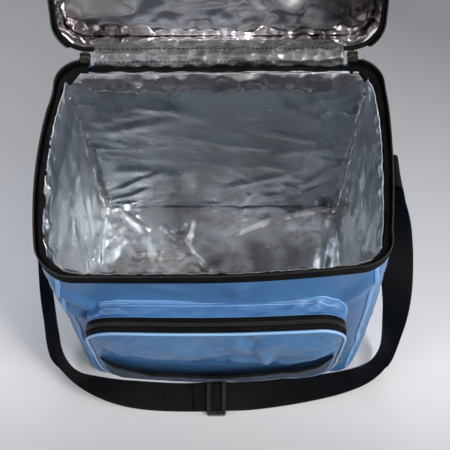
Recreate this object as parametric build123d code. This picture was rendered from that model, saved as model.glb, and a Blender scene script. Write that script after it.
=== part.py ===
"""Soft insulated cooler bag with an open zipped lid, a zipped front pocket and a shoulder strap.

Frame: millimetres, +Z up, the front faces -Y, +X is to the viewer's right.
The origin is the centre of the base, on the floor.
The lid is modelled closed and then swung to its stored, open position.
"""
from build123d import *
from itertools import accumulate
from math import cos, radians, sin, tan
import os

# ---------------------------------------------------------------- driving dimensions
body_width = 300.0
body_depth = 214.0
rim_height = 286.0
corner_radius = 26.0

shell_thickness = 1.0
foam_thickness = 5.0
lining_thickness = 0.8
floor_seam_gap = 0.3               # between the floor's lining and the walls' lining
binding_thickness = 1.0
binding_height = 10.0

zip_tape_thickness = 0.9
zip_tape_height = 13.0
zip_coil_thickness = 2.0
zip_coil_height = 2.6
zip_gap = 2.4                      # space between the two rows of coil
zip_plane_out = 1.5                # zip centre plane, outside the wall's outer face
zip_above_rim = 9.0                # zip centre line, above the rim

lid_gap = 16.0                     # rim to the lower edge of the closed lid's band
lid_band_height = 24.0
lid_open_angle = 112.0
hinge_out = 3.0                    # hinge axis, outside the wall's outer face
hinge_seam_gap = 0.6
zip_end = 121.0                    # the zip starts here, on each side of the fabric hinge
hinge_half_width = 116.0
zip_parking = 9.0                  # coil-free length at the ends of the body's zip, to park a slider
lid_zip_parking = 17.0             # the same on the lid, longer so that the slider can pass it

pocket_width = 238.0
pocket_shift = -3.0               # the pocket is sewn on a little to the left
pocket_top = 234.0
pocket_height = 222.0
pocket_top_depth = 29.0
pocket_bottom_depth = 18.0
pocket_top_radius = 30.0
pocket_bottom_radius = 20.0
pocket_zip_mid = 8.6               # behind the pocket's front face
pocket_zip_drop = 142.0            # how far down the sides the zip runs
piping_radius = 1.8

mesh_side_drop = 80.0              # mesh's top edge below the pocket's top, at the sides
mesh_middle_drop = 114.0
mesh_bulge = 9.0
mesh_thickness = 0.8
mesh_inset = 6.0
mesh_stand_off = 0.7               # the net's back, in front of the panel, at its sides
mesh_binding_height = 7.0
mesh_bottom_taper = 50.0

strap_width = 32.0
strap_thickness = 1.4
anchor_height = 36.0
anchor_top = 272.0
anchor_thickness = 2.4

glide_x = -5.5
glide_y = -135.2
glide_length = 21.0
glide_rail = 4.0
glide_outer_bar = 4.0
glide_centre_bar = 3.0
glide_window = 34.0
glide_low = 0.3
glide_bar_top = 1.7
glide_arch = 5.6
glide_top = 7.4

slider_length = 10.0
slider_height = 9.0
slider_plate = 1.0
slider_clearance = 0.8
bail_bar_radius = 0.7
bail_stand_off = 2.4
bail_post = 1.0
bail_span = 6.0
pull_length = 24.0
pull_width = 5.0
pull_thickness = 1.4
pull_eye_radius = 2.0
pull_eye_clearance = 0.35

# Each row is a point of the centre line and the direction of the webbing's outer edge there.
strap_right_route = [
    ((153.4, 0, 262), (0, -1, 0)),
    ((154.2, 0, 272), (0, -1, 0)),
    ((161, 0, 274), (0, -1, 0)),
    ((164, -1, 262), (0.1, -1, 0)),
    ((165.5, -5, 243), (0.3, -1, 0)),
    ((168, -13, 219), (0.65, -0.8, 0)),
    ((171, -23, 190), (0.9, -0.45, 0)),
    ((178, -42, 146), (1, -0.1, 0)),
    ((183, -65, 97), (0.75, -0.64, 0.19)),
    ((182.5, -77.4, 65.3), (0.5, -0.8, 0.33)),
    ((182.5, -86.2, 40), (0.3, -0.8, 0.5)),
    ((181.5, -92.8, 24.5), (0.2, -0.65, 0.7)),
    ((177, -99.5, 15.6), (0.3, -0.5, 0.8)),
    ((168, -107.5, 13), (0.37, -0.55, 0.72)),
    ((154, -115.3, 11), (0.28, -0.74, 0.6)),
    ((130.5, -121.8, 8.3), (0.15, -0.88, 0.45)),
    ((98.5, -126.9, 5.4), (0.1, -0.95, 0.28)),
    ((66.5, -130.6, 2.8), (0.06, -0.97, 0.12)),
    ((32, -134, 1.3), (0.04, -1, 0)),
    ((11, -135.3, 4.2), (0, -1, 0)),
    ((-12, -135.1, 4.3), (0, -1, 0)),
    ((-23, -135.3, 3.5), (0, -1, 0)),
    ((-31, -135.7, 2.9), (0, -1, 0)),
]
strap_left_route = [
    ((-153.4, 0, 262), (0, -1, 0)),
    ((-154.2, 0, 272), (0, -1, 0)),
    ((-161, 0, 274), (0, -1, 0)),
    ((-165, -1, 262), (0, -1, 0)),
    ((-168.5, -6, 241), (0, -1, 0.1)),
    ((-171.5, -18, 212), (0, -1, 0.2)),
    ((-174, -36, 175), (-0.1, -1, 0.3)),
    ((-177, -54, 134), (-0.2, -1, 0.4)),
    ((-179, -69, 92), (-0.2, -1, 0.5)),
    ((-182, -81, 54), (-0.2, -0.8, 0.8)),
    ((-180, -95, 26), (-0.2, -0.4, 0.95)),
    ((-166, -112, 17), (-0.2, -0.4, 0.95)),
    ((-144, -123, 13.5), (-0.3, -0.7, 0.7)),
    ((-117, -129.5, 5.8), (-0.15, -0.95, 0.35)),
    ((-86, -133, 1.4), (-0.05, -1, 0)),
    ((-54, -135, 1.1), (0, -1, 0)),
    ((-30, -135.2, 1.2), (0, -1, 0)),
    ((-19, -135.1, 1.3), (0, -1, 0)),
    ((-10, -135.3, 2.7), (0, -1, 0)),
    ((-4, -135.2, 2.7), (0, -1, 0)),
]
strap_sections = 96

# ---------------------------------------------------------------- sizes worked out from them
half_width = body_width / 2
half_depth = body_depth / 2
corner_x = half_width - corner_radius
corner_y = half_depth - corner_radius
wall_thickness = shell_thickness + foam_thickness + lining_thickness
floor_top = wall_thickness
wall_top = rim_height - binding_thickness
zip_mid = rim_height + zip_above_rim
coil_inner_edge = zip_gap / 2
coil_outer_edge = coil_inner_edge + zip_coil_height
lid_bottom = rim_height + lid_gap
lid_top = lid_bottom + lid_band_height
hinge_y = half_depth + hinge_out
hinge_axis = Axis((0, hinge_y, zip_mid), (1, 0, 0))
pocket_tilt = Vector(pocket_height, pocket_top_depth - pocket_bottom_depth, 0).get_angle(Vector(1, 0, 0))
pocket_place = Pos(pocket_shift, -half_depth - pocket_top_depth, pocket_top) * Rot(pocket_tilt, 0, 0)
slider_face = zip_coil_thickness / 2 + slider_clearance + slider_plate
bail_y = slider_face + bail_stand_off
mesh_half = pocket_width / 2 - mesh_inset
mesh_back_y = -shell_thickness / 2 - mesh_stand_off

parts = {}


# ---------------------------------------------------------------- shared shapes
def slab(inset, low, high):
    """The bag's plan outline, shrunk by inset, between two heights."""
    outline = RectangleRounded(body_width - 2 * inset, body_depth - 2 * inset, corner_radius - inset)
    return Pos(0, 0, low) * extrude(outline, amount=high - low)


def ring(outer_inset, inner_inset, low, high):
    """A wall that follows the bag's plan outline."""
    return slab(outer_inset, low, high) - slab(inner_inset, low, high)


def prism(points, height):
    """A plan polygon, extruded up from the floor."""
    return extrude(make_face(Polyline(*points, close=True)), amount=height)


def side_wedges():
    """Four prisms that meet on the corners' diagonals, one for each side of the bag."""
    reach = corner_radius * 2
    depth = corner_y * 0.7
    far_x = corner_x + reach
    far_y = corner_y + reach
    near_x = corner_x - depth
    near_y = corner_y - depth
    height = lid_top * 1.2
    front = prism([(-far_x, -far_y), (far_x, -far_y), (near_x, -near_y), (-near_x, -near_y)], height)
    left = prism([(-far_x, far_y), (-far_x, -far_y), (-near_x, -near_y), (-near_x, near_y)], height)
    return {"front": front, "back": front.mirror(Plane.XZ), "left": left, "right": left.mirror(Plane.YZ)}


def hinge_gap_cut(half_length):
    """The stretch of the back wall's plan between two points, to cut out of a ring."""
    return Pos(0, half_depth, 0) * Box(2 * half_length, corner_radius, 3 * lid_top)


def opened(shape):
    """Swing a piece of the closed lid to its stored position."""
    return shape.rotate(hinge_axis, -lid_open_angle)


# ---------------------------------------------------------------- body walls and base
def add_walls():
    """Each side of the bag has a shell panel, a foam panel and a lining panel."""
    layers = {
        "shell": (0, shell_thickness, shell_thickness),
        "foam": (shell_thickness, shell_thickness + foam_thickness, shell_thickness + foam_thickness),
        "lining": (shell_thickness + foam_thickness, wall_thickness, shell_thickness + foam_thickness),
    }
    wedges = side_wedges()
    for layer, (outer, inner, low) in layers.items():
        wall = ring(outer, inner, low, wall_top)
        for side, wedge in wedges.items():
            parts[f"{layer}_{side}"] = wall & wedge
    parts["shell_bottom"] = slab(0, 0, shell_thickness)
    parts["foam_bottom"] = slab(shell_thickness, shell_thickness, shell_thickness + foam_thickness)
    floor_low = shell_thickness + foam_thickness
    parts["lining_bottom"] = slab(wall_thickness + floor_seam_gap, floor_low, floor_top)


# ---------------------------------------------------------------- rim binding and main zip
def add_rim():
    """A folded binding over the wall's edge, with the body's half of the zip standing on it."""
    hinge_cut = hinge_gap_cut(zip_end)
    parking_cut = hinge_gap_cut(zip_end + zip_parking)
    lid_parking_cut = hinge_gap_cut(zip_end + lid_zip_parking)
    outside = -binding_thickness
    channel = ring(0, wall_thickness, rim_height - binding_height, wall_top)
    binding = ring(outside, wall_thickness + binding_thickness, rim_height - binding_height, rim_height)
    parts["rim_binding"] = binding - channel - hinge_cut

    tape_inner = -binding_thickness
    tape_outer = -binding_thickness - zip_tape_thickness
    coil_in = -zip_plane_out + zip_coil_thickness / 2
    coil_out = -zip_plane_out - zip_coil_thickness / 2
    body_tape_top = zip_mid - coil_outer_edge
    body_tape = ring(tape_outer, tape_inner, body_tape_top - zip_tape_height, body_tape_top)
    parts["main_zip_tape_body"] = body_tape - hinge_cut
    body_coil = ring(coil_out, coil_in, body_tape_top, zip_mid - coil_inner_edge)
    parts["main_zip_coil_body"] = body_coil - parking_cut

    lid_tape_bottom = zip_mid + coil_outer_edge
    lid_tape = ring(tape_outer, tape_inner, lid_tape_bottom, lid_tape_bottom + zip_tape_height)
    parts["main_zip_tape_lid"] = opened(lid_tape - lid_parking_cut)
    lid_coil = ring(coil_out, coil_in, zip_mid + coil_inner_edge, lid_tape_bottom)
    parts["main_zip_coil_lid"] = opened(lid_coil - lid_parking_cut)


# ---------------------------------------------------------------- lid
def add_lid():
    """A shallow tray: a band with a lining, and a padded top."""
    band_outer = -binding_thickness
    band_inner = band_outer + shell_thickness
    lining_inner = band_inner + lining_thickness
    foam_low = lid_top - foam_thickness
    lining_low = foam_low - lining_thickness
    parts["lid_band_shell"] = opened(ring(band_outer, band_inner, lid_bottom, lid_top))
    parts["lid_band_lining"] = opened(ring(band_inner, lining_inner, lid_bottom, lining_low))
    parts["lid_top_shell"] = opened(slab(band_outer, lid_top, lid_top + shell_thickness))
    parts["lid_foam"] = opened(slab(band_inner, foam_low, lid_top))
    parts["lid_top_lining"] = opened(slab(band_inner, lining_low, foam_low))


def hinge_strip(inset, thickness):
    """A strip that leaves the back wall upwards and bends round to the open lid's band."""
    start_y = half_depth - inset
    arm_y = start_y - hinge_y
    arm_z = lid_bottom - zip_mid - hinge_seam_gap
    turn = radians(lid_open_angle)
    end_y = hinge_y + arm_y * cos(turn) + arm_z * sin(turn)
    end_z = zip_mid - arm_y * sin(turn) + arm_z * cos(turn)
    middle = TangentArc((start_y, wall_top), (end_y, end_z), tangent=(0, 1))
    section = Plane.YZ * trace(middle, thickness)
    return extrude(section, amount=hinge_half_width, both=True)


def add_hinge():
    """The fabric hinge: shell fabric outside, lining inside, neither reaching the zip's ends."""
    parts["hinge_strip_outer"] = hinge_strip(shell_thickness / 2, shell_thickness)
    parts["hinge_strip_lining"] = hinge_strip(shell_thickness * 2 + lining_thickness, lining_thickness)


# ---------------------------------------------------------------- zip sliders and pulls
def zip_slider(bar_along_travel):
    """A slider that travels along X on a zip in the XZ plane, with its bail on the +Y side."""
    plate_y = slider_face - slider_plate / 2
    plate = Box(slider_length, slider_plate, slider_height)
    plate = fillet(plate.edges().filter_by(Axis.Y), slider_height / 4)
    bridge_height = zip_gap / 2
    body = Pos(0, plate_y, 0) * plate + Pos(0, -plate_y, 0) * plate
    body += Box(slider_length * 0.4, 2 * plate_y, bridge_height)
    bar = Rot(0, 90, 0) * Cylinder(bail_bar_radius, bail_span + 2 * bail_post)
    post_height = bail_stand_off + bail_bar_radius
    bail = Pos(0, bail_y, 0) * bar
    for side in (-1, 1):
        post_x = side * (bail_span + bail_post) / 2
        post = Box(bail_post, post_height, 2 * bail_bar_radius)
        bail += Pos(post_x, slider_face + post_height / 2, 0) * post
    return body + (bail if bar_along_travel else Rot(0, 90, 0) * bail)


def zip_pull():
    """A pull tab that hangs from a bar along X at the origin."""
    eye = Rot(0, 90, 0) * Cylinder(pull_eye_radius, pull_width * 0.8)
    tab = Box(pull_width, pull_thickness, pull_length)
    tab = Pos(0, 0, -pull_length / 2 - pull_eye_radius * 0.8) * fillet(tab.edges().filter_by(Axis.Y), 2)
    hole = Rot(0, 90, 0) * Cylinder(bail_bar_radius + pull_eye_clearance, pull_width * 2)
    return eye + tab - hole


def add_main_sliders():
    """Two sliders parked at the zip's ends, where the corners begin, with their pulls hanging outside."""
    for name, side in (("left", -1), ("right", 1)):
        place = Pos(side * corner_x, half_depth + zip_plane_out, zip_mid)
        parts[f"main_slider_{name}"] = place * zip_slider(bar_along_travel=True)
        parts[f"main_pull_{name}"] = place * Pos(0, bail_y, 0) * zip_pull()


# ---------------------------------------------------------------- front pocket
def pocket_outline(inset):
    """The pocket's front outline in its own frame: X across, Z up, its top at z = 0."""
    left = -pocket_width / 2 + inset
    right = -left
    top = -inset
    bottom = inset - pocket_height
    top_r = pocket_top_radius - inset
    bottom_r = pocket_bottom_radius - inset
    shape = make_face(Polyline((left, bottom), (right, bottom), (right, top), (left, top), close=True))
    shape = fillet(shape.vertices().group_by(Axis.Y)[-1], top_r)
    return fillet(shape.vertices().group_by(Axis.Y)[0], bottom_r)


def pocket_block(inset, near, far):
    """The pocket's outline, extruded from a depth near its front face to a depth nearer the bag."""
    block = extrude(Plane.XZ * pocket_outline(inset), amount=-(far - near))
    return Pos(0, near, 0) * block


def pocket_ring(outer_inset, inner_inset, near, far):
    """A wall that follows the pocket's outline."""
    return pocket_block(outer_inset, near, far) - pocket_block(inner_inset, near, far)


def add_pocket():
    """Gusset, a zip round the top and the upper sides, piping, and a front panel."""
    tape_near = piping_radius + 0.1
    tape_far = 2 * pocket_zip_mid - tape_near
    coil_near = pocket_zip_mid - coil_outer_edge
    coil_far = pocket_zip_mid + coil_outer_edge
    tape_outer = 0.3
    tape_inner = tape_outer + zip_tape_thickness
    coil_out = (tape_outer + tape_inner - zip_coil_thickness) / 2
    coil_in = coil_out + zip_coil_thickness
    reach = pocket_top_depth * 2

    half_drop = pocket_zip_drop / 2
    zip_reach = Pos(0, 0, -half_drop) * Box(2 * pocket_width, 2 * reach, pocket_zip_drop)
    zip_window = Pos(0, tape_far / 2, -half_drop) * Box(2 * pocket_width, tape_far, pocket_zip_drop)
    bag_inside = Pos(0, reach - half_depth, pocket_top / 2) * Box(2 * body_width, 2 * reach, 2 * pocket_top)

    gusset = pocket_ring(tape_outer, tape_outer + shell_thickness, tape_near, reach) - zip_window
    parts["pocket_gusset"] = pocket_place * gusset - bag_inside
    bands = {
        "pocket_zip_tape_front": (tape_outer, tape_inner, tape_near, coil_near),
        "pocket_zip_coil_front": (coil_out, coil_in, coil_near, pocket_zip_mid - coil_inner_edge),
        "pocket_zip_coil_back": (coil_out, coil_in, pocket_zip_mid + coil_inner_edge, coil_far),
        "pocket_zip_tape_back": (tape_outer, tape_inner, coil_far, tape_far),
    }
    for name, (outer, inner, near, far) in bands.items():
        parts[name] = pocket_place * (pocket_ring(outer, inner, near, far) & zip_reach)

    piping_path = pocket_outline(piping_radius).face().outer_wire()
    piping_path = Plane.XZ * piping_path
    start = piping_path @ 0
    piping_section = Plane(origin=start, z_dir=piping_path % 0) * Circle(piping_radius)
    parts["pocket_piping"] = pocket_place * sweep(piping_section, path=piping_path)
    panel_inset = 2 * piping_radius + 0.05
    front_panel = pocket_block(panel_inset, -shell_thickness / 2, shell_thickness / 2)
    parts["pocket_front_panel"] = pocket_place * front_panel


def add_pocket_slider():
    """The pocket's slider at the lower end of its zip, on the right-hand side."""
    side_x = pocket_width / 2 - 0.3 - zip_tape_thickness / 2
    start_z = slider_length - pocket_zip_drop
    upright = Pos(side_x, pocket_zip_mid, start_z) * Rot(0, 0, -90) * Rot(0, 90, 0)
    parts["pocket_slider"] = pocket_place * upright * zip_slider(bar_along_travel=False)
    pull_place = Pos(side_x + bail_y, pocket_zip_mid, start_z) * Rot(0, 0, -90)
    parts["pocket_pull"] = pocket_place * pull_place * zip_pull()


# ---------------------------------------------------------------- mesh pocket
def mesh_profile(offset):
    """The net's plan: close to the panel at its sides and standing out in the middle."""
    shoulder = mesh_half * 0.6
    return Spline(
        (-mesh_half, mesh_back_y - offset),
        (-shoulder, mesh_back_y - mesh_bulge * 0.8 - offset),
        (0, mesh_back_y - mesh_bulge - offset),
        (shoulder, mesh_back_y - mesh_bulge * 0.8 - offset),
        (mesh_half, mesh_back_y - offset),
    )


def mesh_bulk(offset):
    """What lies behind the net's face: bulged in plan, and drawn in to the panel at the bottom."""
    front = mesh_profile(offset)
    back_left = (-mesh_half, mesh_back_y + pocket_top_depth)
    back_right = (mesh_half, mesh_back_y + pocket_top_depth)
    back = Polyline(front @ 1, back_right, back_left, front @ 0)
    bulk = Pos(0, 0, -pocket_height) * extrude(make_face([front, back]), amount=pocket_height)
    bottom = mesh_inset - pocket_height
    near = mesh_back_y - offset
    far = near - 2 * mesh_bulge
    taper = 2 * mesh_bottom_taper
    deep = pocket_top_depth
    side = Polyline((near, bottom), (far, bottom + taper), (far, 0), (deep, 0), (deep, bottom))
    wedge = extrude(Plane.YZ * make_face([side, Line(side @ 1, side @ 0)]), amount=pocket_width, both=True)
    return bulk & wedge


def mesh_area(shift):
    """The net's front outline: a sagging top edge, moved by shift, and rounded lower corners."""
    low = mesh_inset - pocket_height
    side = shift - mesh_side_drop
    middle = shift - mesh_middle_drop
    top = ThreePointArc((mesh_half, side), (0, middle), (-mesh_half, side))
    rest = Polyline((-mesh_half, side), (-mesh_half, low), (mesh_half, low), (mesh_half, side))
    shape = make_face([top, rest])
    shape = fillet(shape.vertices().group_by(Axis.Y)[0], pocket_bottom_radius - mesh_inset)
    return extrude(Plane.XZ * shape, amount=pocket_top_depth, both=True)


def add_mesh_pocket():
    """A net on the front panel, closed at the bottom, with a folded binding over its top edge."""
    net = (mesh_bulk(mesh_thickness) - mesh_bulk(0)) & mesh_area(0)
    in_front = Pos(0, mesh_back_y - pocket_top_depth / 2, -pocket_height / 2)
    in_front = in_front * Box(pocket_width, pocket_top_depth, pocket_height)
    net = net & in_front
    parts["mesh_panel"] = pocket_place * net
    fold = 0.5
    cover = mesh_bulk(mesh_thickness + fold) - mesh_bulk(-fold)
    strip = mesh_area(fold) - mesh_area(-mesh_binding_height)
    parts["mesh_binding"] = pocket_place * ((cover & strip & in_front) - net)


# ---------------------------------------------------------------- shoulder strap
def arc_radii(points):
    """0.45 of the shorter run beside each inner point, over the tangent of half its turn."""
    radii = []
    for before, point, after in zip(points, points[1:], points[2:]):
        run_in = Vector(*point) - Vector(*before)
        run_out = Vector(*after) - Vector(*point)
        turn = radians(run_in.get_angle(run_out))
        radii.append(0.45 * min(run_in.length, run_out.length) / tan(turn / 2))
    return radii


def edge_direction(route, share):
    """The outer edge's direction at a share of the route's length."""
    points = [Vector(*point) for point, _ in route]
    edges = [Vector(*edge) for _, edge in route]
    runs = [(after - before).length for before, after in zip(points, points[1:])]
    reached = [0] + list(accumulate(runs))
    along = share * reached[-1]
    for index, run in enumerate(runs):
        if along <= reached[index + 1] or index == len(runs) - 1:
            part = (along - reached[index]) / run
            return edges[index] * (1 - part) + edges[index + 1] * part


def webbing(name, route):
    """A flat strap along straight runs joined by tangent arcs, turned by its edge directions."""
    points = [point for point, _ in route]
    radii = arc_radii(points)
    path = FilletPolyline(*points, radius=radii)
    sections = []
    for step in range(strap_sections + 1):
        share = step / strap_sections
        tangent = path % share
        edge = edge_direction(route, share)
        edge = edge - tangent * edge.dot(tangent)
        place = Plane(origin=path @ share, x_dir=edge, z_dir=-tangent)
        sections.append(place * Rectangle(strap_width, strap_thickness))
    solid = loft(sections, ruled=True)
    swept = strap_width * strap_thickness * path.length
    print(name, "length", round(path.length, 1), "radii", [round(radius) for radius in radii])
    print(name, "volume", round(solid.volume), "section x length", round(swept))
    return solid


def add_strap():
    """Two webbings from sewn patches on the sides, joined at the front by a strap adjuster."""
    patch = Box(anchor_thickness, strap_width + 2, anchor_height)
    patch_x = half_width + anchor_thickness / 2
    patch_z = anchor_top - anchor_height / 2
    parts["strap_anchor_left"] = Pos(-patch_x, 0, patch_z) * patch
    parts["strap_anchor_right"] = Pos(patch_x, 0, patch_z) * patch
    parts["strap_left"] = webbing("strap_left", strap_left_route)
    parts["strap_right"] = webbing("strap_right", strap_right_route)


def add_adjuster():
    """A glide with two windows. Its centre bar is below the webbing and its outer bars are above."""
    full_width = glide_window + 2 * glide_rail
    place = Pos(glide_x, glide_y, 0)

    def bar(x, length, width, low, high):
        return Pos(x, 0, (low + high) / 2) * Box(length, width, high - low)

    block = fillet(bar(0, glide_length, full_width, glide_low, glide_top).edges().filter_by(Axis.Z), 3)
    clear_high = bar(0, glide_length * 2, glide_window, glide_low - 1, glide_arch)
    outer_x = (glide_length - glide_outer_bar) / 2
    opening = bar(0, 2 * (outer_x - glide_outer_bar / 2), glide_window, glide_low - 1, glide_top + 1)
    centre_bar = bar(0, glide_centre_bar, full_width - glide_rail, glide_low, glide_bar_top)
    parts["strap_adjuster"] = place * (block - clear_high - opening + centre_bar)


add_walls()
add_rim()
add_lid()
add_hinge()
add_main_sliders()
add_pocket()
add_pocket_slider()
add_mesh_pocket()
add_strap()
add_adjuster()

os.makedirs("parts", exist_ok=True)
for name, shape in parts.items():
    export_step(shape, f"parts/{name}.step")
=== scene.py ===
import math

import bpy
import numpy as np
from mathutils import Matrix, Vector, noise


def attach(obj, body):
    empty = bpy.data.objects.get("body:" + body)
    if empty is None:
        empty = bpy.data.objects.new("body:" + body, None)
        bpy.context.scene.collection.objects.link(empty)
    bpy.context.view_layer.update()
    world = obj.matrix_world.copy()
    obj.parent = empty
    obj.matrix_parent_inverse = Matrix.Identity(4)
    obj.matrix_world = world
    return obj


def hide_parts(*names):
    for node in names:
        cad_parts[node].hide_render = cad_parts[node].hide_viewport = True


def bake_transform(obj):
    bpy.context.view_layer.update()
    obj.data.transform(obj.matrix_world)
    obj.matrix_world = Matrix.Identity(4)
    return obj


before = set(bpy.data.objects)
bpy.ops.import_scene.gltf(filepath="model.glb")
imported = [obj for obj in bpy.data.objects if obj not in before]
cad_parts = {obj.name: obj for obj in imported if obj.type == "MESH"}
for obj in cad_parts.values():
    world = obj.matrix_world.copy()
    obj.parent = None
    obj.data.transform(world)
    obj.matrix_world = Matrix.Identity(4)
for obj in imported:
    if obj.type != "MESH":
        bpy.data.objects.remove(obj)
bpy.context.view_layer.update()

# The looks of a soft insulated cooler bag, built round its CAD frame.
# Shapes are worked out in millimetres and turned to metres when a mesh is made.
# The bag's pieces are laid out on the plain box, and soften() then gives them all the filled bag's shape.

# ---- driving dimensions, as in the CAD
MM = 0.001
half_x = 150.0
half_y = 107.0
rim_height = 286.0
body_radius = 24.0
rim_radius = 26.0
lining_inset = 6.8
lining_radius = 9.0
lining_top = 285
front_pinch = 4.2
left_pinch = 3.2
right_pinch = 2.2
floor_top = 6.8

hinge_y = 110.0
hinge_z = 295.0
hinge_half = 116.0
hinge_foot = 284.0
back_edge_height = 284.6
zip_end = 121.0
lid_bottom = 302.0
lid_cloth_height = 327.6
lid_foil_height = 320.8
lid_radius = 31.0
lid_angle = math.radians(112)

pocket_half = 119.0
pocket_shift = -3.0
pocket_top = 230.0
pocket_height = 218.0
pocket_depth = 29.0
pocket_taper = 11.0
pocket_tilt = math.atan2(pocket_taper, pocket_height)
zip_middle = 8.6
zip_drop = 138.0
pocket_round = 30.0
panel_inset = 3.2
net_half = 112.0
net_bottom = -212.0

strap_width = 32.0
strap_thickness = 1.4
strap_step = 0.65
rib_pitch = 2.6
anchor_half_y = 17
anchor_half_z = 18
anchor_middle = 254

stitch_pitch = 2.6
coil_pitch = 1.5
coil_radius = 0.62


# ---- noise and small maths
def rumple(points, size, seed):
    """Smooth noise from -1 to 1, with lumps of about the given size."""
    places = (points / np.array(size, float) + seed * 13.7).reshape(-1, 3)
    values = [noise.noise(Vector(place)) for place in places]
    return np.array(values).reshape(points.shape[:-1])


def creases(points, size, seed, sharpness=5.0):
    """1 on thin wandering lines, falling to 0 beside them."""
    return np.clip(1 - sharpness * np.abs(rumple(points, size, seed)), 0, 1) ** 1.5


def smooth(value):
    """0 up to 0, 1 from 1 on, with soft ends between."""
    value = np.clip(value, 0, 1)
    return value * value * (3 - 2 * value)


def near(distance, reach):
    """1 at no distance, fading over about the given reach."""
    return np.exp(-np.abs(distance) / reach)


def crumple(points, size, seed):
    """Shallow hollows with sharp ridges between them, from 0 to 1, like crumpled foil."""
    places = (points / np.array(size, float) + seed * 7.3).reshape(-1, 3)
    nearest = [noise.voronoi(Vector(place))[0][0] for place in places]
    return np.clip(1.5 * np.array(nearest) ** 2, 0, 1).reshape(points.shape[:-1])


def fold(across, up, start, end, width, height):
    """A soft ridge along the line from start to end, in a panel's own two coordinates."""
    a = np.array(start, float)
    b = np.array(end, float)
    run = b - a
    share = ((across - a[0]) * run[0] + (up - a[1]) * run[1]) / (run @ run)
    clipped = np.clip(share, 0, 1)
    off_x = across - a[0] - clipped * run[0]
    off_y = up - a[1] - clipped * run[1]
    taper = np.clip(1 - np.abs(2 * clipped - 1) ** 3, 0, 1)
    return height * taper * np.exp(-(off_x ** 2 + off_y ** 2) / width ** 2)


def folds(across, up, *ridges):
    """Several soft ridges, each given by its start, end, width and height."""
    return sum(fold(across, up, *ridge) for ridge in ridges)


def loose_folds(across, up, low, high, count, seed, width=(3.5, 7), height=(0.8, 2.2), length=(30, 90),
                lean=0.8):
    """Many soft ridges scattered between two corners of a panel, leaning up to an angle either way."""
    chance = np.random.default_rng(seed)
    total = np.zeros(across.shape)
    for _ in range(count):
        middle = chance.uniform(low, high)
        half = chance.uniform(*length) / 2
        angle = chance.uniform(-lean, lean)
        reach = half * np.array([math.cos(angle), math.sin(angle)])
        wide = chance.uniform(*width)
        total += fold(across, up, middle - reach, middle + reach, wide, chance.uniform(*height))
    return total


def grid_normals(points):
    """Unit normals of a grid of points."""
    normal = np.cross(np.gradient(points, axis=1), np.gradient(points, axis=0))
    return normal / np.maximum(np.linalg.norm(normal, axis=2, keepdims=True), 1e-9)


def soften(points):
    """The filled bag's soft shape: its walls belly a little, and its upper edge bows out."""
    p = np.array(points, float)
    x, y, z = p[..., 0], p[..., 1], p[..., 2]
    height = np.clip(z / rim_height, 0, 1.1)
    up = height ** 1.6
    belly = 3.0 * np.sin(math.pi * np.clip(height, 0, 1))
    to_left = np.clip(-x / half_x, 0, 1) ** 2
    to_right = np.clip(x / half_x, 0, 1) ** 2
    to_front = np.clip(-y / half_y, 0, 1) ** 2
    to_back = np.clip(y / half_y, 0, 1) ** 2
    middle_x = np.clip(1 - (x / pocket_half) ** 2, 0, 1)
    middle_y = np.clip(1 - (y / half_y) ** 2, 0, 1)
    before_sliders = smooth((90 - y) / 40)
    left_bow = before_sliders * np.maximum(8.5 - 0.032 * y - 0.00109 * y ** 2, -1)
    right_bow = before_sliders * np.maximum(1.0 + 0.044 * y - 0.00055 * y ** 2, -5)
    front_bow = 1.5 * up * np.clip(1 - ((x + 20) / 168) ** 2, 0, 1)
    front_bow -= 9.0 * smooth((z - 195) / 91) * np.clip((x + 10) / half_x, 0, 1) ** 1.6
    p[..., 0] += to_right * (up * right_bow + belly * middle_y) - to_left * (up * left_bow + belly * middle_y)
    p[..., 1] += to_back * belly * middle_x - to_front * (front_bow + belly * middle_x)
    return p


def pinch(points):
    """How far the sewn rim pulls the wall's inner side outwards, which is nothing at the corners."""
    x, y = points[..., 0], points[..., 1]
    between_x = smooth((half_x - 8 - np.abs(x)) / 30)
    between_y = smooth((half_y - 8 - np.abs(y)) / 30)
    front = smooth((-y - half_y + 24) / 14) * between_x
    left = smooth((-x - half_x + 24) / 14) * between_y
    right = smooth((x - half_x + 24) / 14) * between_y
    shift = right_pinch * right - left_pinch * left
    return np.stack([shift, -front_pinch * front, np.zeros(x.shape)], axis=-1)


def opened(points):
    """Swings points of the closed lid to its stored, open place."""
    p = np.array(points, float)
    y = p[..., 1] - hinge_y
    z = p[..., 2] - hinge_z
    p[..., 1] = hinge_y + y * math.cos(lid_angle) + z * math.sin(lid_angle)
    p[..., 2] = hinge_z - y * math.sin(lid_angle) + z * math.cos(lid_angle)
    return p


def pocket_place(points):
    """From the pocket's own frame to the bag's: X across, Y into the bag, Z up with 0 at the pocket's top.
    The empty pocket sinks in at its foot."""
    p = np.array(points, float)
    narrow = 1 - 0.09 * smooth((-110 - p[..., 2]) / 112)
    x = p[..., 0] * narrow + pocket_shift
    front_share = 1 - np.clip(p[..., 1] / (pocket_depth + p[..., 2] * math.sin(pocket_tilt)), 0, 1)
    p[..., 1] += front_share * 9.0 * smooth((-125 - p[..., 2]) / 95)
    y = p[..., 1] * math.cos(pocket_tilt) - p[..., 2] * math.sin(pocket_tilt) - half_y - pocket_depth
    z = p[..., 1] * math.sin(pocket_tilt) + p[..., 2] * math.cos(pocket_tilt) + pocket_top
    return soften(np.stack([x, y, z], axis=-1))


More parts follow.
